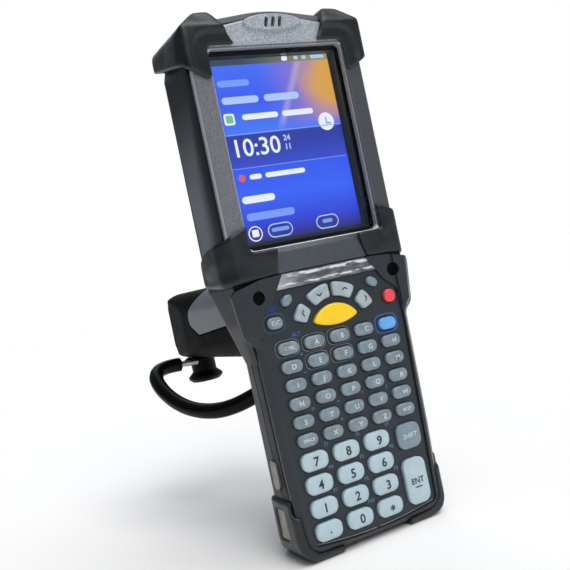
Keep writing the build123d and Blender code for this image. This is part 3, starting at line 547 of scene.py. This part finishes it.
def softened(node, name, voxel, rounds, shape=None):
    """Soft-edged stand-in for a node: its joined mesh on an even grid of cells, each point then drawn
    towards its neighbours' mean, rounds times, and last moved as shape(points) says."""
    mesh = nodes[node].data.copy()
    joined = bmesh.new()
    joined.from_mesh(mesh)
    bmesh.ops.remove_doubles(joined, verts=joined.verts, dist=WELD)
    joined.to_mesh(mesh)
    joined.free()
    piece = bpy.data.objects.new(name, mesh)
    scene.collection.objects.link(piece)
    even = piece.modifiers.new("even", "REMESH")
    even.mode = "VOXEL"
    even.voxel_size = voxel
    relax = piece.modifiers.new("relax", "SMOOTH")
    relax.factor = 0.5
    relax.iterations = rounds
    piece.data = evaluated(piece)
    piece.modifiers.clear()
    if shape is not None:
        set_points(piece.data, shape(points_of(piece.data)))
    piece.data.materials.clear()
    piece.data.materials.append(FINISH[slot_of(node)])
    piece.data.shade_smooth()
    piece.name = name
    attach(piece, body_of(node))
    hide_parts(node)
    return piece


# ---------------------------------------------------------------- rubber corners and sleeve
BOOT_CELL = 0.5 * MM
SLEEVE_CELL = 0.7 * MM
for side in ("left", "right"):
    for place, rounds in (("top", 16), ("middle", 14), ("foot", 8)):
        softened(f"{place}_boot_{side}", f"{place}_rubber_{side}", BOOT_CELL, rounds)
softened("grip_sleeve", "grip_rubber", SLEEVE_CELL, 4).data.materials[0] = FINISH["sleeve_black"]


# ---------------------------------------------------------------- keycaps
KEY_LIP = 0.6 * MM           # flange round a key's foot
KEY_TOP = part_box("scan_key")[0].y
OVERLAY_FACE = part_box("keypad_overlay")[0].y
CAP_CELL = 0.22 * MM
CAP_RISE = 0.5 * MM          # crown at a cap's middle
CAP_COUNTS = {"side_keys": 2, "letter_keys_1": 4}
CAP_COUNTS |= {f"letter_keys_{row}": 5 for row in range(2, 7)}
CAP_COUNTS |= {f"number_keys_{row}": 3 for row in range(1, 5)}
LETTER_HALF = (4.65 * MM, 2.6 * MM)
NUMBER_HALF = (6.15 * MM, 3.7 * MM)
SIDE_HALF = (2.6 * MM, 2.2 * MM)


class Caps:
    """Where the caps of one node are: their middles and half sizes."""

    def __init__(self, node):
        low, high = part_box(node)
        count = CAP_COUNTS.get(node, 1)
        if node.startswith("letter"):
            self.half = LETTER_HALF
        elif node.startswith("number"):
            self.half = NUMBER_HALF
        elif node == "side_keys":
            self.half = SIDE_HALF
        else:
            self.half = ((high.x - low.x) / 2 - KEY_LIP, (high.z - low.z) / 2 - KEY_LIP)
        inset = self.half[0] + KEY_LIP
        self.x = np.array([(low.x + high.x) / 2])
        if count > 1:
            self.x = np.linspace(low.x + inset, high.x - inset, count)
        self.z = (low.z + high.z) / 2

    def crown(self, x, z):
        """Rise of the crown: CAP_RISE * (1 - u^2) * (1 - v^2), where u and v run from 0 at a cap's middle
        to 1 at its sides."""
        across = np.abs(np.asarray(x)[:, None] - self.x[None, :]).min(1) / self.half[0]
        along = np.abs(np.asarray(z) - self.z) / self.half[1]
        return CAP_RISE * np.clip(1 - across ** 2, 0, 1) * np.clip(1 - along ** 2, 0, 1)

    def shape(self, points):
        """Lifts the points in front of the overlay by the crown."""
        lifted = np.clip((OVERLAY_FACE - points[:, 1]) / (OVERLAY_FACE - KEY_TOP), 0, 1)
        points[:, 1] -= lifted * self.crown(points[:, 0], points[:, 2])
        return points


CAPS = {}
for node in nodes:
    if slot_of(node) in ("key_yellow", "key_red", "key_light", "key_silver", "key_grey", "key_blue"):
        CAPS[node] = Caps(node)
        cap = softened(node, node.replace("key", "cap"), CAP_CELL, 5, CAPS[node].shape)
        if node.startswith("letter") or node == "escape_key":
            cap.data.materials[0] = FINISH["key_letter"]


# ---------------------------------------------------------------- legends
MARK_RISE = 0.12 * MM        # marks on the caps, in front of their crowns
ARROW_THICK = 0.14 * MM
PROBES = 9                   # points each way at which the surface under a mark is looked up
FILM_GAP = 0.01 * MM         # print on the film, in front of it
FILM_PRINT = 0.03 * MM       # its thickness
RIM_POINTS = 48
SQUARENESS = 3.4             # power of the curve that the printed rings follow: 2 is an ellipse
FILM_BEND = 187 * MM         # radius of the film's lower edge
LINE_UP = 0.75 * MM          # painted highlight lines, above that edge
LINE_POINTS = 40
LINE_SECTION = ((0.02, -0.14), (0.02, 0.14), (-0.06, 0.10), (-0.06, -0.10))   # y and z, millimetres


def text_mesh(text, size, thick, weight):
    """Triangles of one line of text, centred, in the x-z plane and facing -y, its strokes made wider by
    weight."""
    data = bpy.data.curves.new("line", "FONT")
    data.body = text
    data.size = size
    data.align_x, data.align_y = "CENTER", "CENTER"
    data.resolution_u = 3
    data.extrude = thick
    data.offset = weight
    line = bpy.data.objects.new("line", data)
    scene.collection.objects.link(line)
    mesh = evaluated(line)
    bpy.data.objects.remove(line)
    points = points_of(mesh)
    faces = [tuple(face.vertices) for face in mesh.polygons]
    bpy.data.meshes.remove(mesh)
    return np.stack([points[:, 0], -points[:, 2], points[:, 1]], 1), faces


def legends(name, body, material, marks, surface, thick=MARK_RISE, weight=0.03):
    """Several inlaid marks in one mesh: (text, x, z, height), each set where the surface y(x, z) stands
    furthest out under it, and its strokes wider by a share of its height."""
    verts, faces, start = [], [], 0
    for text, x, z, size in marks:
        points, shapes = text_mesh(text, size, thick, weight * size)
        points += (x, 0.0, z)
        (x_low, _, z_low), (x_high, _, z_high) = points.min(0), points.max(0)
        across, along = np.meshgrid(np.linspace(x_low, x_high, PROBES), np.linspace(z_low, z_high, PROBES))
        points[:, 1] += np.min(surface(across.ravel(), along.ravel())) + thick
        verts.append(points)
        faces += [tuple(index + start for index in face) for face in shapes]
        start += len(points)
    return new_piece(name, np.concatenate(verts), faces, material, body, smooth=False)


INK = {
    "ink_dark": moulded("ink_dark", (0.022, 0.023, 0.027), 0.4),
    "ink_white": moulded("ink_white", (0.62, 0.66, 0.68), 0.4),
    "ink_cyan": moulded("ink_cyan", (0.07, 0.155, 0.24), 0.4),
    # pale grey for rings that stand for painted highlights round some caps' openings
    "pale_rim_highlight": moulded("pale_rim_highlight", (0.22, 0.24, 0.25), 0.4),
    "ink_teal": moulded("ink_teal", (0.012, 0.06, 0.09), 0.4),
    "ink_navy": moulded("ink_navy", (0.010, 0.018, 0.17), 0.4),
    "ink_blue": moulded("ink_blue", (0.045, 0.10, 0.34), 0.4),
}


def on_caps(node):
    """Where marks on a node's crowned caps start: MARK_RISE in front of the crown."""
    return lambda x, z: KEY_TOP - CAPS[node].crown(x, z) - MARK_RISE


# Letters and digits stand a little to the right of their caps' middles, more so in the right-hand columns.
LETTERS = ("ABC", "DEFGH", "IJKLM", "NOPQR", "STUVW", "XYZ")
DIGITS = ("789", "456", "123", " 0 ")
WORDS = (("shift_key", "SHIFT", "ink_white", 3.0 * MM), ("enter_key", "ENT", "ink_dark", 3.5 * MM),
         ("escape_key", "ESC", "ink_white", 2.5 * MM))
for row, word in enumerate(LETTERS, 1):
    node = f"letter_keys_{row}"
    first = 1 if row in (1, 6) else 0
    marks = [(letter, CAPS[node].x[column] + (0.3 + 0.2 * column) * MM, CAPS[node].z - 0.2 * MM, 3.0 * MM)
             for column, letter in enumerate(word, first)]
    if row == 1:
        marks.append(("CTRL", CAPS[node].x[0], CAPS[node].z, 1.9 * MM))
    if row == 6:
        marks.append(("SPACE", CAPS[node].x[0] + 0.2 * MM, CAPS[node].z, 1.9 * MM))
        marks.append(("BKSP", CAPS[node].x[4] + 0.2 * MM, CAPS[node].z, 1.9 * MM))
    legends(f"letters_row_{row}", f"letter_row_{row}", INK["ink_white"], marks, on_caps(node), weight=0.012)
for row, word in enumerate(DIGITS, 1):
    node = f"number_keys_{row}"
    marks = [(digit, CAPS[node].x[column] + (0.2 + 0.3 * column) * MM, CAPS[node].z - 0.3 * MM, 5.2 * MM)
             for column, digit in enumerate(word) if digit != " "]
    if row == 4:
        marks.append((".", CAPS[node].x[0] + 0.2 * MM, CAPS[node].z + 0.6 * MM, 5.2 * MM))
        marks.append(("*", CAPS[node].x[2] + 0.4 * MM, CAPS[node].z - 1.6 * MM, 5.6 * MM))
    legends(f"digits_row_{row}", f"number_row_{row}", INK["ink_dark"], marks, on_caps(node), weight=0.014)
for node, word, ink, size in WORDS:
    marks = [(word, CAPS[node].x[0], CAPS[node].z, size)]
    legends(node.replace("key", "word"), node, INK[ink], marks, on_caps(node), weight=0.008)


def plates(name, body, material, outlines, front, thick):
    """Flat plates of the outlines (x, z), anticlockwise as seen from the front, from y = front forwards."""
    verts, faces, start = [], [], 0
    for outline in outlines:
        count = len(outline)
        for y in (front - thick, front):
            verts.append(np.stack([outline[:, 0], np.full(count, y), outline[:, 1]], 1))
        ring = np.arange(count)
        following = (ring + 1) % count
        faces.append(start + ring)
        faces.append(start + count + ring[::-1])
        faces += list(start + np.stack([following, ring, count + ring, count + following], 1))
        start += 2 * count
    return new_piece(name, np.concatenate(verts), faces, material, body, smooth=False)


def cap_plate(name, node, outline):
    """Flat dark plate on the crown of a node's cap."""
    face = np.min(on_caps(node)(outline[:, 0], outline[:, 1])) + MARK_RISE
    plates(name, node, INK["ink_dark"], [outline], face, ARROW_THICK)


def chevron(node, name, shift, degrees):
    """Arrow head of two strokes on a cursor key, turned by degrees from pointing right: the six corners are
    the tip, and each stroke's end, outside and inside."""
    half, wide = 1.3 * MM, 0.5 * MM
    corners = np.array([(half / 2, 0), (wide - half / 2, half), (-half / 2, half), (half / 2 - wide, 0),
                        (-half / 2, -half), (wide - half / 2, -half)])
    turn = np.radians(degrees)
    corners = corners @ np.array([(np.cos(turn), np.sin(turn)), (-np.sin(turn), np.cos(turn))])
    corners += (CAPS[node].x[0] + shift[0] * MM, CAPS[node].z + shift[1] * MM)
    cap_plate(name, node, corners)


def bar_outline(x, z, wide, high):
    """Corners of a bar, anticlockwise as seen from the front."""
    return np.array([(x - wide / 2, z - high / 2), (x + wide / 2, z - high / 2),
                     (x + wide / 2, z + high / 2), (x - wide / 2, z + high / 2)])


ENTER = CAPS["enter_key"]
cap_plate("enter_line", "enter_key", bar_outline(ENTER.x[0], ENTER.z - 2.6 * MM, 3.4 * MM, 0.45 * MM))
chevron("left_key", "left_arrow", (0.0, 0.0), 180)
chevron("right_key", "right_arrow", (0.6, 0.2), 0)
chevron("up_key", "up_arrow", (0.4, 0.2), 90)
chevron("down_key", "down_arrow", (0.0, 0.0), -90)


def on_overlay(x, z):
    """Where marks on the printed film start."""
    return np.full(len(x), OVERLAY_FACE - FILM_GAP)


def beside(node, pitch, words, size, steps=(0.47, 0.50)):
    """Marks on the film, up and to the right of the caps of a row, by shares of the pitch along it and of
    the pitch between rows."""
    caps = CAPS[node]
    along = caps.x[1] - caps.x[0]
    return [(word, caps.x[column] + steps[0] * along, caps.z + steps[1] * pitch, size)
            for column, word in enumerate(words) if word]


NUMBER_PITCH = CAPS["number_keys_1"].z - CAPS["number_keys_2"].z
LETTER_PITCH = CAPS["letter_keys_2"].z - CAPS["letter_keys_3"].z
MINUS = "\u2212"
NUMBER_SIGNS = (("F7", "F8", "F9"), ("F4", "F5", "F6"), ("F1", "F2", "F3"), ("", "F10"))
LETTER_SIGNS = {2: ("+",), 3: (MINUS,), 5: ("=", MINUS, "*", "/"), 6: ("", "+")}
marks = []
for row, words in enumerate(NUMBER_SIGNS, 1):
    marks += beside(f"number_keys_{row}", NUMBER_PITCH, words, 2.2 * MM)
for row, words in LETTER_SIGNS.items():
    marks += beside(f"letter_keys_{row}", LETTER_PITCH, words, 2.6 * MM)
legends("film_marks", "terminal", INK["ink_cyan"], marks, on_overlay, FILM_PRINT)
marks = beside("letter_keys_1", LETTER_PITCH, ("ALT",), 2.3 * MM, (0.42, 0.62))
legends("film_alternate", "terminal", INK["ink_blue"], marks, on_overlay, FILM_PRINT)


def rims(name, material, node, columns, gap, wide):
    """Thin flat rings on the film round caps of a row: (a cos t, b sin t) with both waves to the power
    2 / SQUARENESS, keeping their signs, where a and b are the cap's half sizes plus gap, or plus gap and
    wide."""
    caps = CAPS[node]
    turn = np.linspace(0, 2 * np.pi, RIM_POINTS, endpoint=False)
    waves = np.stack([np.cos(turn), np.sin(turn)], 1)
    unit = np.sign(waves) * np.abs(waves) ** (2 / SQUARENESS)
    ring = np.arange(RIM_POINTS)
    following = (ring + 1) % RIM_POINTS
    verts, faces = [], []
    for column in columns:
        start = RIM_POINTS * len(verts)
        for grown, lift in ((gap + wide, 0.0), (gap + wide, FILM_PRINT), (gap, FILM_PRINT), (gap, 0.0)):
            flat = unit * (caps.half[0] + grown, caps.half[1] + grown) + (caps.x[column], caps.z)
            front = np.full(RIM_POINTS, OVERLAY_FACE - FILM_GAP - lift)
            verts.append(np.stack([flat[:, 0], front, flat[:, 1]], 1))
        for loop in range(4):
            here, there = start + RIM_POINTS * loop, start + RIM_POINTS * ((loop + 1) % 4)
            faces += list(np.stack([here + ring, here + following, there + following, there + ring], 1))
    new_piece(name, np.concatenate(verts), faces, material, "terminal", smooth=False)


# pale rings: painted highlights on the film's edges round these caps
rims("film_rim_highlights_1", INK["pale_rim_highlight"], "letter_keys_1", (0, 1, 2), 0.75 * MM, 0.2 * MM)
rims("film_rim_highlights_2", INK["pale_rim_highlight"], "letter_keys_2", (1, 2), 0.75 * MM, 0.2 * MM)
rims("film_rim_blue", INK["ink_blue"], "function_key", (0,), 1.1 * MM, 0.5 * MM)
rims("film_rim_teal", INK["ink_teal"], "escape_key", (0,), 1.0 * MM, 0.6 * MM)
ESCAPE = CAPS["escape_key"]
patch = bar_outline(ESCAPE.x[0] - 0.3 * MM, ESCAPE.z + 6.0 * MM, 5.0 * MM, 2.3 * MM)
plates("film_blue_patch", "terminal", INK["ink_navy"], [patch], OVERLAY_FACE - FILM_GAP, FILM_PRINT)


def film_edge_highlight(name, left, right):
    """Thin bright steel line along the film's bent lower edge, a painted highlight of that edge:
    LINE_SECTION carried along z = foot + x^2 / (2 FILM_BEND)."""
    x = np.linspace(left, right, LINE_POINTS)
    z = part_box("keypad_overlay")[0].z + LINE_UP + x ** 2 / (2 * FILM_BEND)
    y, lift = np.array(LINE_SECTION).T * MM
    verts = np.stack(np.broadcast_arrays(x[:, None], OVERLAY_FACE + y, z[:, None] + lift), 2)
    place, corner = np.meshgrid(np.arange(LINE_POINTS - 1), np.arange(4), indexing="ij")
    here, there = 4 * place + corner, 4 * place + (corner + 1) % 4
    sides = np.stack([here, there, there + 4, here + 4], 2).reshape(-1, 4)
    ends = np.stack([np.arange(4)[::-1], 4 * (LINE_POINTS - 1) + np.arange(4)])
    new_piece(name, verts.reshape(-1, 3), np.concatenate([sides, ends]), FINISH["steel"], "terminal",
              smooth=False)


# bright steel strips that stand for the painted highlight along the film's lower edge
film_edge_highlight("film_edge_highlight_left", -29.5 * MM, -1.0 * MM)
film_edge_highlight("film_edge_highlight_right", 1.0 * MM, 29.5 * MM)


# ---------------------------------------------------------------- picture on the display
LCD_LOW, LCD_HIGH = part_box("lcd_module")
PICTURE_RIM = 2.5 * MM
LEFT, RIGHT = LCD_LOW.x + PICTURE_RIM, LCD_HIGH.x - PICTURE_RIM
FOOT, TOP = LCD_LOW.z + PICTURE_RIM, LCD_HIGH.z - PICTURE_RIM
WIDE, TALL = RIGHT - LEFT, TOP - FOOT
PICTURE_FACE = LCD_LOW.y - 0.15 * MM
BAR = 0.018                  # the picture's top bar, over the rest, as a share of its height
NEAR, NEARER, NEAREST = 0.06 * MM, 0.13 * MM, 0.19 * MM   # layers in front of the background
CORNER_POINTS = 5            # on each rounded corner of a bar


def srgb(red, green, blue):
    """Linear colour of 0-255 display values."""
    channels = [value / 255 for value in (red, green, blue)]
    return tuple(value / 12.92 if value <= 0.04045 else ((value + 0.055) / 1.055) ** 2.4
                 for value in channels)


def picture_finish():
    """Lit background: blue that deepens downward in bands, with a warm glow at the top right."""
    made = Finish("picture", 0.3)
    made.shader.inputs["Emission Strength"].default_value = 1.0
    parts = made.node("ShaderNodeSeparateXYZ", _Vector=made.where)
    across = made.maths("DIVIDE", made.maths("SUBTRACT", parts.outputs["X"], LEFT), WIDE)
    down = made.maths("DIVIDE", made.maths("SUBTRACT", TOP, parts.outputs["Z"]), TALL)
    ramp = made.node("ShaderNodeValToRGB", _Fac=down)
    stops = ((0.02, (62, 108, 250)), (0.22, (48, 88, 246)), (0.395, (66, 120, 250)), (0.405, (34, 52, 160)),
             (0.46, (30, 48, 168)), (0.58, (42, 68, 205)), (0.59, (40, 84, 240)), (0.75, (44, 96, 252)),
             (0.9, (32, 58, 216)), (0.97, (24, 36, 150)), (1.0, (16, 20, 84)))
    elements = ramp.color_ramp.elements
    while len(elements) < len(stops):
        elements.new(0.5)
    for element, (place, colour) in zip(elements, stops):
        element.position = place
        element.color = (*srgb(*colour), 1.0)
    body = ramp.outputs["Color"]
    offset_x = made.maths("SUBTRACT", across, 1.02)
    offset_z = made.maths("MULTIPLY", made.maths("SUBTRACT", down, 0.13), 1.3)
    squares = [made.maths("MULTIPLY", offset, offset) for offset in (offset_x, offset_z)]
    reach = made.maths("SQRT", made.maths("ADD", *squares))
    reach = made.maths("ADD", reach, made.maths("MULTIPLY", made.noise(16 * MM, 2.0), 0.16))
    streak = made.maths("ADD", made.maths("SUBTRACT", across, 0.74), made.maths("MULTIPLY", down, 0.68))
    streak = made.maths("ABSOLUTE", streak)
    above = made.spread(down, 0.33, 0.41, 1.0, 0.0)
    for glow, colour in ((made.spread(reach, 0.38, 0.75, 0.75, 0.0), srgb(150, 118, 196)),
                         (made.spread(reach, 0.2, 0.5, 1.0, 0.0), srgb(222, 164, 66)),
                         (made.spread(streak, 0.0, 0.05, 0.35, 0.0), srgb(215, 205, 225))):
        body = made.mix(made.maths("MULTIPLY", glow, above), body, colour)
    bar = made.spread(down, 0.014, 0.018, 1.0, 0.0)
    bar_tone = made.mix(made.spread(across, 0.2, 1.0), srgb(48, 66, 96), srgb(150, 146, 84))
    body = made.mix(bar, body, bar_tone)
    grain = made.noise(0.4 * MM, 1.0)
    body = made.mix(made.spread(grain, 0.3, 0.7, 0.0, 0.06), body, (0.0, 0.0, 0.0))
    made.put(made.shader.inputs["Emission Color"], body)
    return made.done((0.0, 0.0, 0.0))


def rounded(u, v, wide, high, share=1.0):
    """Outline of a rounded bar about (u, v), with quarter circles at its corners, of the given share of its
    shorter half. u, v, wide and high are shares of the picture's width and height."""
    x, z = LEFT + u * WIDE, TOP - v * TALL
    half_wide, half_high = wide * WIDE / 2, high * TALL / 2
    radius = share * min(half_wide, half_high)
    angle = np.linspace(0, np.pi / 2, CORNER_POINTS)
    quarter = np.stack([half_wide - radius + radius * np.cos(angle),
                        half_high - radius + radius * np.sin(angle)], 1)
    signs = ((1, 1), (-1, 1), (-1, -1), (1, -1))
    loops = [quarter[::sign_x * sign_z] * (sign_x, sign_z) for sign_x, sign_z in signs]
    return np.concatenate(loops) + (x, z)


def tiles(name, material, outlines, level):
    """Thin flat plates of the outlines, level in front of the picture."""
    return plates(name, "terminal", material, outlines, PICTURE_FACE - level, 0.05 * MM)


def display_picture():
    """Background, then plain bars, discs and digits that stand for a home screen's lines."""
    lit = {
        "white": glowing("lit_white", srgb(238, 244, 255)),
        "pale": glowing("lit_pale", srgb(176, 204, 255)),
        "faint": glowing("lit_faint", srgb(118, 158, 252)),
        "deep": glowing("lit_deep", srgb(26, 40, 140)),
        "green": glowing("lit_green", srgb(120, 190, 150)),
        "red": glowing("lit_red", srgb(226, 84, 96)),
    }
    tiles("screen_background", picture_finish(), [rounded(0.5, 0.5 - BAR / 2, 1.0, 1.0 + BAR, 0.01)], 0.0)
    tiles("screen_faint_lines", lit["faint"], [
        rounded(0.155, 0.115, 0.26, 0.036), rounded(0.24, 0.855, 0.40, 0.042),
        rounded(0.5, 0.399, 0.98, 0.006), rounded(0.5, 0.586, 0.98, 0.004)], NEAR)
    tiles("screen_pale_lines", lit["pale"], [
        rounded(0.185, 0.210, 0.30, 0.040), rounded(0.53, 0.210, 0.30, 0.040),
        rounded(0.72, -0.004, 0.035, 0.020, 0.3), rounded(0.79, -0.004, 0.035, 0.020, 0.3),
        rounded(0.91, -0.004, 0.12, 0.020, 0.3)], NEAR)
    tiles("screen_white_lines", lit["white"], [
        rounded(0.32, 0.307, 0.30, 0.032), rounded(0.64, 0.307, 0.27, 0.032),
        rounded(0.18, 0.638, 0.10, 0.028), rounded(0.43, 0.638, 0.34, 0.028),
        rounded(0.167, 0.760, 0.27, 0.040), rounded(0.873, 0.377, 0.14, 0.105),
        rounded(0.62, -0.004, 0.05, 0.026, 0.8), rounded(0.083, 0.948, 0.115, 0.086),
        rounded(0.066, 0.312, 0.085, 0.064, 0.4)], NEAR)
    tiles("screen_soft_keys", lit["pale"], [
        rounded(0.29, 0.948, 0.21, 0.078), rounded(0.70, 0.948, 0.20, 0.078)], NEAR)
    tiles("screen_dark_fields", lit["deep"], [
        rounded(0.29, 0.948, 0.192, 0.065), rounded(0.70, 0.948, 0.182, 0.065),
        rounded(0.083, 0.948, 0.097, 0.073)], NEARER)
    tiles("screen_key_marks", lit["faint"], [
        rounded(0.29, 0.944, 0.15, 0.022), rounded(0.70, 0.944, 0.09, 0.022),
        rounded(0.873, 0.372, 0.012, 0.04), rounded(0.89, 0.388, 0.045, 0.009)], NEAREST)
    tiles("screen_home_mark", lit["white"], [rounded(0.083, 0.946, 0.055, 0.040, 0.3)], NEAREST)
    tiles("screen_green_mark", lit["green"], [rounded(0.066, 0.312, 0.056, 0.042, 0.4)], NEARER)
    tiles("screen_red_mark", lit["red"], [rounded(0.069, 0.638, 0.055, 0.041)], NEAR)

    def flat(x, z):
        return np.full(len(x), PICTURE_FACE - NEARER)

    legends("screen_clock", "terminal", lit["white"],
            [("10:30", LEFT + 0.235 * WIDE, TOP - 0.480 * TALL, 10.5 * MM)], flat, weight=0.010)
    legends("screen_small_digits", "terminal", lit["pale"],
            [("24", LEFT + 0.50 * WIDE, TOP - 0.445 * TALL, 3.4 * MM),
             ("11", LEFT + 0.50 * WIDE, TOP - 0.495 * TALL, 3.4 * MM)], flat)


display_picture()


# ---------------------------------------------------------------- wrist strap
STRAP_DIAMETER = 8.0 * MM
LOOP_POINTS, LOOP_SIDES = 64, 20
LOOP_RADIUS = 9.2 * MM       # middle of the post to the middle of the loop's cord
LOOP_CORD = 1.9 * MM         # radius of that cord
LOOP_TILT = 0.12             # rise for each unit of x
LOOP_DROP = 1.4 * MM         # middle of the loop under the clasp's top
STRAP_ROUTE = [              # millimetres, from the clasp to the socket under the neck
    (-18.5, 138.4, 78.5),
    (-29.5, 136.8, 79.5),
    (-37.6, 128.8, 75.9),
    (-38.6, 116.0, 68.5),
    (-36.2, 102.0, 61.7),
    (-32.0, 88.5, 57.5),
    (-26.2, 75.0, 56.1),
    (-19.6, 62.0, 57.9),
    (-11.8, 50.0, 62.5),
    (-4.6, 40.5, 67.7),
    (0.0, 30.0, 71.3),
]


def strap_curve(name):
    """Open NURBS spline on the route's points, round in section."""
    data = bpy.data.curves.new(name, "CURVE")
    data.dimensions = "3D"
    data.bevel_depth = STRAP_DIAMETER / 2
    data.bevel_resolution = 6
    data.resolution_u = 16
    data.use_fill_caps = True
    spline = data.splines.new("NURBS")
    spline.points.add(len(STRAP_ROUTE) - 1)
    for point, place in zip(spline.points, STRAP_ROUTE):
        point.co = (*[value * MM for value in place], 1.0)
    spline.order_u = 3
    spline.use_endpoint_u = True
    strap = bpy.data.objects.new(name, data)
    scene.collection.objects.link(strap)
    return strap


strap = strap_curve("woven_wrist_strap")
strap.data.materials.append(FINISH["strap_black"])
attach(strap, "terminal")
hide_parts("wrist_strap")


def strap_loop():
    """Short cord laid round the neck of the post, with the clasp in it: a ring of circles whose middles lie
    on a circle, in a plane tilted about Y."""
    turn, section = np.meshgrid(np.linspace(0, 2 * np.pi, LOOP_POINTS, endpoint=False),
                                np.linspace(0, 2 * np.pi, LOOP_SIDES, endpoint=False), indexing="ij")
    reach = LOOP_RADIUS + LOOP_CORD * np.cos(section)
    low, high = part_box("strap_post")
    middle = ((low.x + high.x) / 2, (low.y + high.y) / 2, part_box("strap_hitch")[1].z - LOOP_DROP)
    x, y = reach * np.cos(turn), reach * np.sin(turn)
    verts = np.stack([x, y, LOOP_CORD * np.sin(section) + x * LOOP_TILT], 2) + middle
    row, column = np.meshgrid(np.arange(LOOP_POINTS), np.arange(LOOP_SIDES), indexing="ij")
    after, beyond = LOOP_SIDES * ((row + 1) % LOOP_POINTS), (column + 1) % LOOP_SIDES
    row = LOOP_SIDES * row
    faces = np.stack([row + column, after + column, after + beyond, row + beyond], 2)
    new_piece("strap_loop", verts.reshape(-1, 3), faces.reshape(-1, 4), FINISH["strap_black"],
              body_of("strap_hitch"))


strap_loop()
